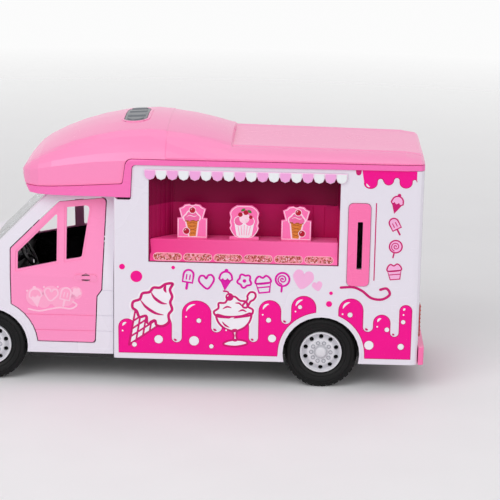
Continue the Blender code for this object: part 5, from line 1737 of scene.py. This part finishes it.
@dataclass
class Mouldings:
    """The moulded shells and panels, each a rounded copy of its CAD solid.

    Attributes:
        rows: node, finish and edge width of each piece.
        dome_angle: least edge angle that is rounded on the roof, in degrees.
    """

    rows: tuple[tuple[str, Finish, float], ...] = (
        ("body_shell", WHITE, 0.0004), ("cab_shell", WHITE, 0.0003), ("roof", ROOF, 0.0010),
        ("roof_trim", TRIM, 0.0003), ("door_left", DOOR, 0.00025), ("door_right", DOOR, 0.00025),
        ("front_bumper", PANEL, 0.0005), ("rear_bumper", PANEL, 0.0006), ("niche_interior", NICHE, 0.0003),
        ("counter", COUNTER, 0.0003), ("vent_left", PANEL, 0.0003), ("vent_right", PANEL, 0.0003),
        ("grille", GLOSS_BLACK, 0.0002), ("cowl_vent_left", GLOSS_BLACK, 0.0002),
        ("cowl_vent_right", GLOSS_BLACK, 0.0002), ("sound_button", SILVER, 0.0003), ("chassis", BLACK, 0.0003),
        ("battery_cover", BLACK, 0.0003), ("cab_tub", BLACK, 0.0003), ("seat_bench", BLACK, 0.0008),
        ("dashboard", BLACK, 0.0004), ("steering_wheel", BLACK, 0.0001), ("tail_lamp_left", RED, 0.0004),
        ("tail_lamp_right", RED, 0.0004), ("windshield", SMOKED, 0.0002), ("headlight_left", CLEAR, 0.0002),
        ("headlight_right", CLEAR, 0.0002))
    dome_angle: float = 9.0

    def build(self) -> None:
        """Build every rounded piece in place of its solid, and finish the axles as they are."""
        for node, finish, width in self.rows:
            angle = {"angle": self.dome_angle} if node == "roof" else {}
            settle(moulded_copy(node + "_form", node, width, **angle), finish, body_of(node), node)
        for node in ("front_axle", "rear_axle"):
            slots = bpy.data.objects[node].data.materials
            slots.clear()
            slots.append(STEEL.material())


@dataclass
class Wheel:
    """One wheel: a turned tyre and rim with tread, holes, black discs of painted shade in the holes, and lug rings.

    Attributes:
        row: front or rear.
        side: the side that it stands on.
        rubber: finish of the tyre.
        plastic: finish of the rim.
    """

    row: str
    side: Side
    rubber: Finish
    plastic: Finish

    WIDTH = 16.5
    BLOCKS = 34
    HOLES = 10
    HOLE_R = 1.55
    HOLE_CIRCLE = 10.6
    LUG_CIRCLE = 6.4
    ROWS = ((-4.5, -1.9, 0.0), (-7.95, -5.9, 0.5), (-10.6, -8.55, 0.0), (-14.6, -12.0, 0.5))
    TYRE = ((14.2, -2.0), (14.9, -1.1), (15.9, -0.45), (16.6, -0.35), (16.9, -0.65), (17.2, -0.55), (18.6, -0.22),
            (19.9, -0.15), (20.1, -0.42), (20.5, -0.42), (20.7, -0.12), (21.6, -0.20), (22.5, -0.65), (23.1, -1.25),
            (23.5, -2.2), (23.55, -4.7), (23.1, -4.9), (23.1, -5.5), (23.55, -5.7))
    RIM = ((0, -0.35), (1.2, -0.38), (2.4, -0.55), (3.2, -0.85), (3.6, -1.25), (3.75, -1.85), (4.2, -1.95),
           (7.9, -1.72), (8.5, -1.78), (8.9, -2.0), (11.9, -2.75), (12.35, -2.8), (12.6, -2.5), (12.75, -1.1),
           (12.95, -0.72), (13.3, -0.6), (13.65, -0.72), (13.85, -1.0), (13.9, -1.6), (13.9, -13.5), (1.8, -13.5),
           (1.8, -6.0), (0, -6.0))
    LUG_RING = ((0.55, -1.9), (0.60, -1.40), (0.72, -1.25), (0.86, -1.40), (0.92, -1.9))

    def build(self) -> None:
        """Build the tyre and the rim on the body of their axle."""
        self.end = "%s_%s" % (self.row, self.side.word)
        self.body = self.row + "_wheels"
        self.centre = (PLACES.front_axle if self.row == "front" else REAR_AXLE, 0, PLACES.tyre_r)
        self.tyre()
        self.rim()

    def depth(self, y: float) -> float:
        """Return the Y of a depth in millimetres, measured outward from the wheel's outer face."""
        return (PLACES.wheel_out + y * MM) * self.side.value

    def outward(self, profile: Line) -> Path:
        """Place a profile of radius and depth, both in millimetres, on the wheel's side."""
        return [(r * MM, self.depth(y)) for r, y in profile]

    def around(self, name: str, profile: Line, segments: int, circle: float, finish: Finish,
               turn: float = 0.0) -> Obj:
        """Repeat a small turned form on a circle about the axle.

        Args:
            name: the piece's name.
            profile: the form's radius and depth in millimetres.
            segments: facets round the form.
            circle: radius of the circle in millimetres.
            finish: its finish.
            turn: how far the first one is turned about the axle.

        Returns:
            The piece.
        """
        unit = turned(self.outward(profile), segments)
        unit.transform(Matrix.Rotation(turn, 4, "Y") @ Matrix.Translation((0, 0, circle * MM)))
        return repeated(name, unit, copies_in_a_ring(), finish, {"Count": self.HOLES, "Centre": self.centre})

    def pin(self, share: float, outer: float, inner: float) -> Path:
        """Return the profile of a pin between two depths, its radius a share of a hole's."""
        radius = self.HOLE_R * share
        return [(0, outer), (radius, outer), (radius, inner), (0, inner)]

    def tyre(self) -> None:
        """Build a tyre: side walls with raised rings, and rows of tread blocks."""
        far = [(r, -self.WIDTH - y) for r, y in reversed(self.TYRE)]
        tyre = linked("tyre_%s_rubber" % self.end, turned(self.outward([*self.TYRE, *far]), 96, self.centre))
        settle(shade(tyre, 40), self.rubber, self.body, "tyre_" + self.end)
        unit = bmesh.new()
        for low, high, lead in self.ROWS:
            self.tread(unit, low, high, lead)
        blocks = repeated("tread_" + self.end, mesh_of("tread", unit), copies_in_a_ring(), self.rubber,
                          {"Count": self.BLOCKS, "Centre": self.centre})
        settle(shade(blocks), self.rubber, self.body)

    def tread(self, bm: Form, low: float, high: float, lead: float) -> None:
        """Add one tread block about the axle.

        Args:
            bm: the bmesh that it goes into.
            low: inner depth in millimetres.
            high: outer depth in millimetres.
            lead: how far it is turned ahead, as a share of the pitch.
        """
        pitch = math.tau / self.BLOCKS
        middle = self.depth((low + high) / 2)
        rings = []
        for radius, grow in ((0.0234, 1.0), (0.02385, 1.0), (0.0240, 0.86)):
            ring = []
            for share, depth in ((-0.34, low), (0.34, low), (0.34, high), (-0.34, high)):
                angle = pitch * (lead + share * grow)
                y = middle + (self.depth(depth) - middle) * grow
                ring.append(bm.verts.new((radius * math.cos(angle), y, radius * math.sin(angle))))
            rings.append(ring)
        stitch(bm, rings)

    def rim(self) -> None:
        """Build a rim with its holes, and set its lug rings and the black discs of painted shade deep in its holes.
        """
        rim = linked("rim_%s_plastic" % self.end, turned(self.outward(self.RIM), 80, self.centre))
        tool = self.around("hole_tool", self.pin(1.0, 25.4, -5.0), 16, self.HOLE_CIRCLE, self.plastic)
        settle(shade(cut_by(rim, [tool]), 35), self.plastic, self.body, "rim_" + self.end)
        ring = [(self.HOLE_R * share, depth) for share, depth in self.LUG_RING]
        lugs = self.around("lugs_" + self.end, ring, 18, self.LUG_CIRCLE, LUG, math.pi / self.HOLES)
        settle(shade(lugs), LUG, self.body)
        # Painted shade: black discs deep in each hole, where the shade falls.
        shade_discs = self.around("hole_liners_" + self.end, self.pin(0.985, -4.2, -4.9), 16, self.HOLE_CIRCLE, HOLE_SHADE)
        settle(shade_discs, HOLE_SHADE, self.body)


@dataclass
class Lamps:
    """What lies behind the clear lenses, and the ribs of the tail lamps.

    Attributes:
        setback: how far a reflector lies behind the lens, in metres.
        bowl_r: radius of a plated bowl.
        bowls: Y, X from the lens's front end and finish of each bowl.
        splay: how far a bowl is turned outward, in degrees.
        ribs: ribs across a tail lamp.
    """

    setback: float = 0.0026
    bowl_r: float = 0.0046
    bowls: tuple[tuple[float, float, Finish], ...] = ((0.0300, 0.0135, CHROME), (0.0392, 0.0165, AMBER))
    splay: float = 16
    ribs: int = 8

    def build(self) -> None:
        """Build the lamps' insides and ribs."""
        for side in Side:
            self.reflector(side)
            self.tail(side)

    def reflector(self, side: Side) -> None:
        """Build the plated reflector and the bowls behind one headlamp lens.

        Args:
            side: the side that it is on.
        """
        node = "headlight_" + side.word
        bm = node_form(node)
        bmesh.ops.translate(bm, vec=(self.setback, -side.value * self.setback * 0.9, -0.0002), verts=bm.verts)
        settle(shade(linked("lamp_reflector_" + side.word, mesh_of("reflector", bm))), CHROME, "truck")
        low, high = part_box(node)
        middle = (low[2] + high[2]) / 2 - 0.0004
        lip = self.bowl_r + 0.0004
        profile = [(0, 0.0016), (0.0012, 0.0015), (0.0018, 0.0006), (0.0020, -0.0010), (0.0030, 0.0000),
                   (0.0041, 0.0018), (self.bowl_r, 0.0026), (lip, 0.0024), (lip, -0.0030), (0, -0.0030)]
        for k, (y, x, finish) in enumerate(self.bowls):
            bowl = turned(profile, 28)
            bowl.transform(Matrix.Translation((low[0] + x, y * side.value, middle))
                           @ Matrix.Rotation(math.radians(90 - self.splay * side.value), 4, "Z"))
            settle(shade(linked("lamp_bowl_%s_%d" % (side.word, k + 1), bowl), 50), finish, "truck")

    def tail(self, side: Side) -> None:
        """Build the ribs over one tail lamp.

        Args:
            side: the side that it is on.
        """
        low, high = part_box("tail_lamp_" + side.word)
        pitch = (high[2] - low[2] - 0.0030) / (self.ribs - 1)
        unit = block((high[0] - 0.0003, low[1] + 0.0009, low[2] + 0.0012),
                     (high[0] + 0.0003, high[1] - 0.0009, low[2] + 0.0018), 0.00014)
        lay_out("tail_lamp_ribs_" + side.word, unit, RED, self.ribs, (0, 0, pitch))


@dataclass
class Strip:
    """The topping strip printed along the counter's sloping foot.

    Attributes:
        panels: number of panels.
        start: station of its front end in millimetres.
        end: station of its rear end.
        gap: gap between two panels.
        low: lower edge of a panel.
        high: upper edge of a panel.
        flakes: flakes on a panel.
        foot: Y and Z of the sloping face's lower edge in metres.
        head: Y and Z of its upper edge.
        seed: seed of the flakes.
    """

    panels: int = 6
    start: float = 108.0
    end: float = 227.0
    gap: float = 1.5
    low: float = 0.7
    high: float = 5.3
    flakes: int = 34
    foot: Point = (-0.05560, 0.0849)
    head: Point = (-0.05320, 0.0905)
    seed: int = 7

    def build(self) -> None:
        """Build the edge, the panels and the flakes on them."""
        foot, head = (Vector((PLACES.front_axle, *edge)) for edge in (self.foot, self.head))
        art = Artwork("topping", Face(tuple(foot), (1, 0, 0), tuple((head - foot).normalized())))
        pitch = (self.end - self.start) / self.panels
        radius, middle = (self.high - self.low) / 2, (self.low + self.high) / 2
        rng = random.Random(self.seed)
        for k in range(self.panels):
            left, right = self.start + pitch * k + self.gap / 2, self.start + pitch * (k + 1) - self.gap / 2
            outline = [*arc((left + radius, middle), radius, 270, 90, 8),
                       *arc((right - radius, middle), radius, 90, -90, 8)]
            art.line(STRIP_EDGE, Ply.EDGE, outline, 0.8, closed=True)
            art.patch(STRIP, Ply.FLOOD, outline)
            for _ in range(self.flakes):
                u, v = rng.uniform(left + 1.0, right - 1.0), rng.uniform(self.low + 0.5, self.high - 0.5)
                angle, reach = rng.uniform(0, math.pi), rng.uniform(0.3, 0.55)
                x, y = reach * math.cos(angle), reach * math.sin(angle)
                ink = rng.choice((BROWN_INK, CHERRY_INK, PALE_INK))
                art.line(ink, Ply.PAPER, ((u - x, v - y), (u + x, v + y)), 0.34)
        art.build()


@dataclass
class Details:
    """Small moulded parts: screws, hatch, wipers and dashboard ribs.

    Attributes:
        screw_r: radius of a screw head.
        well: distance from a screw to the end of the battery cover.
        head_z: height of a screw head.
        screen_foot: middle of the windscreen's lower edge.
        screen_head: middle of its upper edge.
    """

    screw_r: float = 0.0021
    well: float = 0.0120
    head_z: float = 0.0176
    screen_foot: Triple = (-0.115, 0, 0.0855)
    screen_head: Triple = (-0.0745, 0, 0.1270)

    def build(self) -> None:
        """Build every small part."""
        self.screws()
        self.hatch()
        self.wipers()
        self.dashboard()

    def screws(self) -> None:
        """Build the cross-head screws in the wells of the floor."""
        bm = bmesh.new()
        stitch(bm, [[bm.verts.new((x, y, z)) for x, y in arc((0, 0), radius, *ROUND)] for radius, z in (
            (self.screw_r, 0.0), (self.screw_r, -0.0003), (self.screw_r * 0.7, -0.0006), (0.0007, -0.0007))])
        head = linked("screw_tool", mesh_of("screw", bm))
        slots = [linked("slot_tool", block((-x, -y, -0.0012), (x, y, -0.00035), 0.00005, 1))
                 for x, y in ((0.0013, 0.00025), (0.00025, 0.0013))]
        unit = cut_by(head, slots).data
        bpy.data.objects.remove(head, do_unlink=True)
        low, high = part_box("battery_cover")
        unit.transform(Matrix.Translation((low[0] - self.well, low[1], self.head_z)))
        lay_out("floor_screws", unit, STEEL, 2, (high[0] - low[0] + 2 * self.well, 0, 0),
                2, (0, high[1] - low[1], 0))

    def hatch(self) -> None:
        """Build the raised outline, the hinges and the handle of the rear hatch."""
        art = Artwork("rear_hatch", REAR_WALL)
        low, high, side, corner = 37.0, 116.0, 37.0, 4
        outline = [*arc((-side, high), corner, 180, 90, 5), *arc((side, high), corner, 90, 0, 5),
                   *arc((side, low), corner, 0, -90, 5), *arc((-side, low), corner, -90, -180, 5)]
        art.line(WHITE, Ply.HALO, outline, 1.1, closed=True, rise=0.00035)
        art.line(WHITE, Ply.HALO, ((0, 34.0), (0, 60.0)), 0.9, rise=0.00030)
        art.build()
        wall = PLACES.body_rear - 0.0002
        half, foot, head, depth = 0.0110, 0.0540, 0.0575, 0.0022
        handle = block((wall, -half, foot), (wall + depth, half, head), 0.0009, 3)
        settle(shade(linked("hatch_handle", handle)), PANEL, "truck")
        hinge = block((wall, -0.0300, 0.1195), (wall + 0.0015, -0.0220, 0.1225), 0.0005)
        lay_out("hatch_hinges", hinge, WHITE, 2, (0, 0.0520, 0))

    def wipers(self) -> None:
        """Build two wipers that lie on the windscreen."""
        low, high = Vector(self.screen_foot), Vector(self.screen_head)
        art = Artwork("wiper", Face(tuple(low), (0, -1, 0), tuple((high - low).normalized())))
        for start, end in (((-24.0, 4.6), (-4.0, 17.0)), ((6.0, 4.6), (26.0, 17.0))):
            art.line(BLACK, Ply.EDGE, (start, end), 0.9, rise=0.0006)
            tip, way = Vector(end), Vector(end) - Vector(start)
            away = Vector((way.y, -way.x)).normalized() * 1.2
            blade = (tuple(tip - way * 0.62 + away), tuple(tip + way * 0.18 + away))
            art.line(GLOSS_BLACK, Ply.FLOOD, blade, 0.7, rise=0.0005)
            art.dot(BLACK, Ply.SHINE, start, 1.3)
        art.build()

    def dashboard(self) -> None:
        """Build the ribs of the dashboard's air outlets."""
        x, _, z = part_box("dashboard")[1]
        unit = block((x - 0.0042, -0.0090, z - 0.0016), (x - 0.0036, 0.0090, z - 0.0002), 0.00012)
        lay_out("dashboard_ribs", unit, BLACK, 4, (-0.0013, 0, 0.0002))


@dataclass
class Studio:
    """The pale floor, the soft lights and the camera.

    Attributes:
        camera_place: the camera's place in metres.
        aim: where the lamps point.
        pitch: how far it looks down, in degrees.
        yaw: how far it looks to the side.
        roll: how far it is rolled.
        lens: focal length in millimetres.
        world: strength of the world as a light.
        backdrop: strength of the world where it is seen.
        lamps: name, place, size and power of each lamp.
    """

    camera_place: Triple = (0.09253, -1.2577, 0.40033)
    aim: Triple = (0.05, 0, 0.08)
    pitch: float = 14.3
    yaw: float = -1.6
    roll: float = 1.0
    lens: float = 136.8
    world: float = 0.45
    backdrop: float = 0.97
    lamps: tuple[tuple[str, Triple, float, float], ...] = (
        ("key", (-0.9, -1.3, 1.3), 1.4, 16.0), ("fill", (1.3, -1.3, 0.8), 1.2, 7.0),
        ("top", (0.1, 0.3, 1.7), 1.5, 4.5))

    def build(self) -> None:
        """Build the floor, the world, the lamps and the camera."""
        self.floor()
        self.light()
        self.camera()

    def floor(self) -> None:
        """Build a plain pale floor."""
        bm = bmesh.new()
        bmesh.ops.create_grid(bm, x_segments=1, y_segments=1, size=4)
        obj = linked("floor", mesh_of("floor", bm))
        obj.data.materials.append(FLOOR.material())

    def light(self) -> None:
        """Set the world and the soft lamps."""
        world = bpy.data.worlds.new("studio")
        world.use_nodes = True
        graph = Graph(world.node_tree)
        ray = graph.add("LightPath").outputs
        seen = graph.maths("MAXIMUM", ray["Is Camera Ray"],
                           graph.maths("MAXIMUM", ray["Is Glossy Ray"], ray["Is Transmission Ray"]))
        ground = world.node_tree.nodes["Background"].inputs
        ground["Color"].default_value = (1, 1, 1, 1)
        graph.feed(ground["Strength"], graph.plus(graph.times(seen, self.backdrop - self.world), self.world))
        bpy.context.scene.world = world
        for name, place, size, power in self.lamps:
            lamp = bpy.data.lights.new(name, "AREA")
            lamp.size, lamp.energy = size, power
            obj = linked(name, lamp)
            obj.location = place
            obj.rotation_euler = (Vector(self.aim) - Vector(place)).to_track_quat("-Z", "Y").to_euler()

    def camera(self) -> None:
        """Set the camera at the photograph's viewpoint."""
        pitch, yaw, roll = (math.radians(a) for a in (self.pitch, self.yaw, self.roll))
        ahead, right = Vector((math.sin(yaw), math.cos(yaw), 0)), Vector((math.cos(yaw), -math.sin(yaw), 0))
        look = ahead * math.cos(pitch) - Vector(UP) * math.sin(pitch)
        top = Vector(UP) * math.cos(pitch) + ahead * math.sin(pitch)
        across = right * math.cos(roll) + top * math.sin(roll)
        upward = top * math.cos(roll) - right * math.sin(roll)
        data = bpy.data.cameras.new("camera")
        data.lens, data.sensor_width = self.lens, 36
        obj = linked("camera", data)
        turn = Matrix((across, upward, -look)).transposed().to_4x4()
        obj.matrix_world = Matrix.Translation(self.camera_place) @ turn
        bpy.context.scene.camera = obj


def main() -> None:
    """Build the pieces and the studio."""
    logging.basicConfig(level=logging.INFO, format="%(name)s %(message)s")
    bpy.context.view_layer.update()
    bpy.context.scene.view_settings.view_transform = "Standard"
    wheels = [Wheel(row, side, rubber, plastic) for row, rubber, plastic in (
        ("front", FRONT_RUBBER, FRONT_RIM), ("rear", REAR_RUBBER, REAR_RIM)) for side in Side]
    builders = [Mouldings(), Awning(), Cards(), Strip(), *wheels, Lamps(), Details(), RearPrint(), Studio()]
    for side in Side:
        builders += [SidePrint(side), DoorBadge(side)]
    for builder in builders:
        builder.build()


if __name__ == "__main__":
    main()
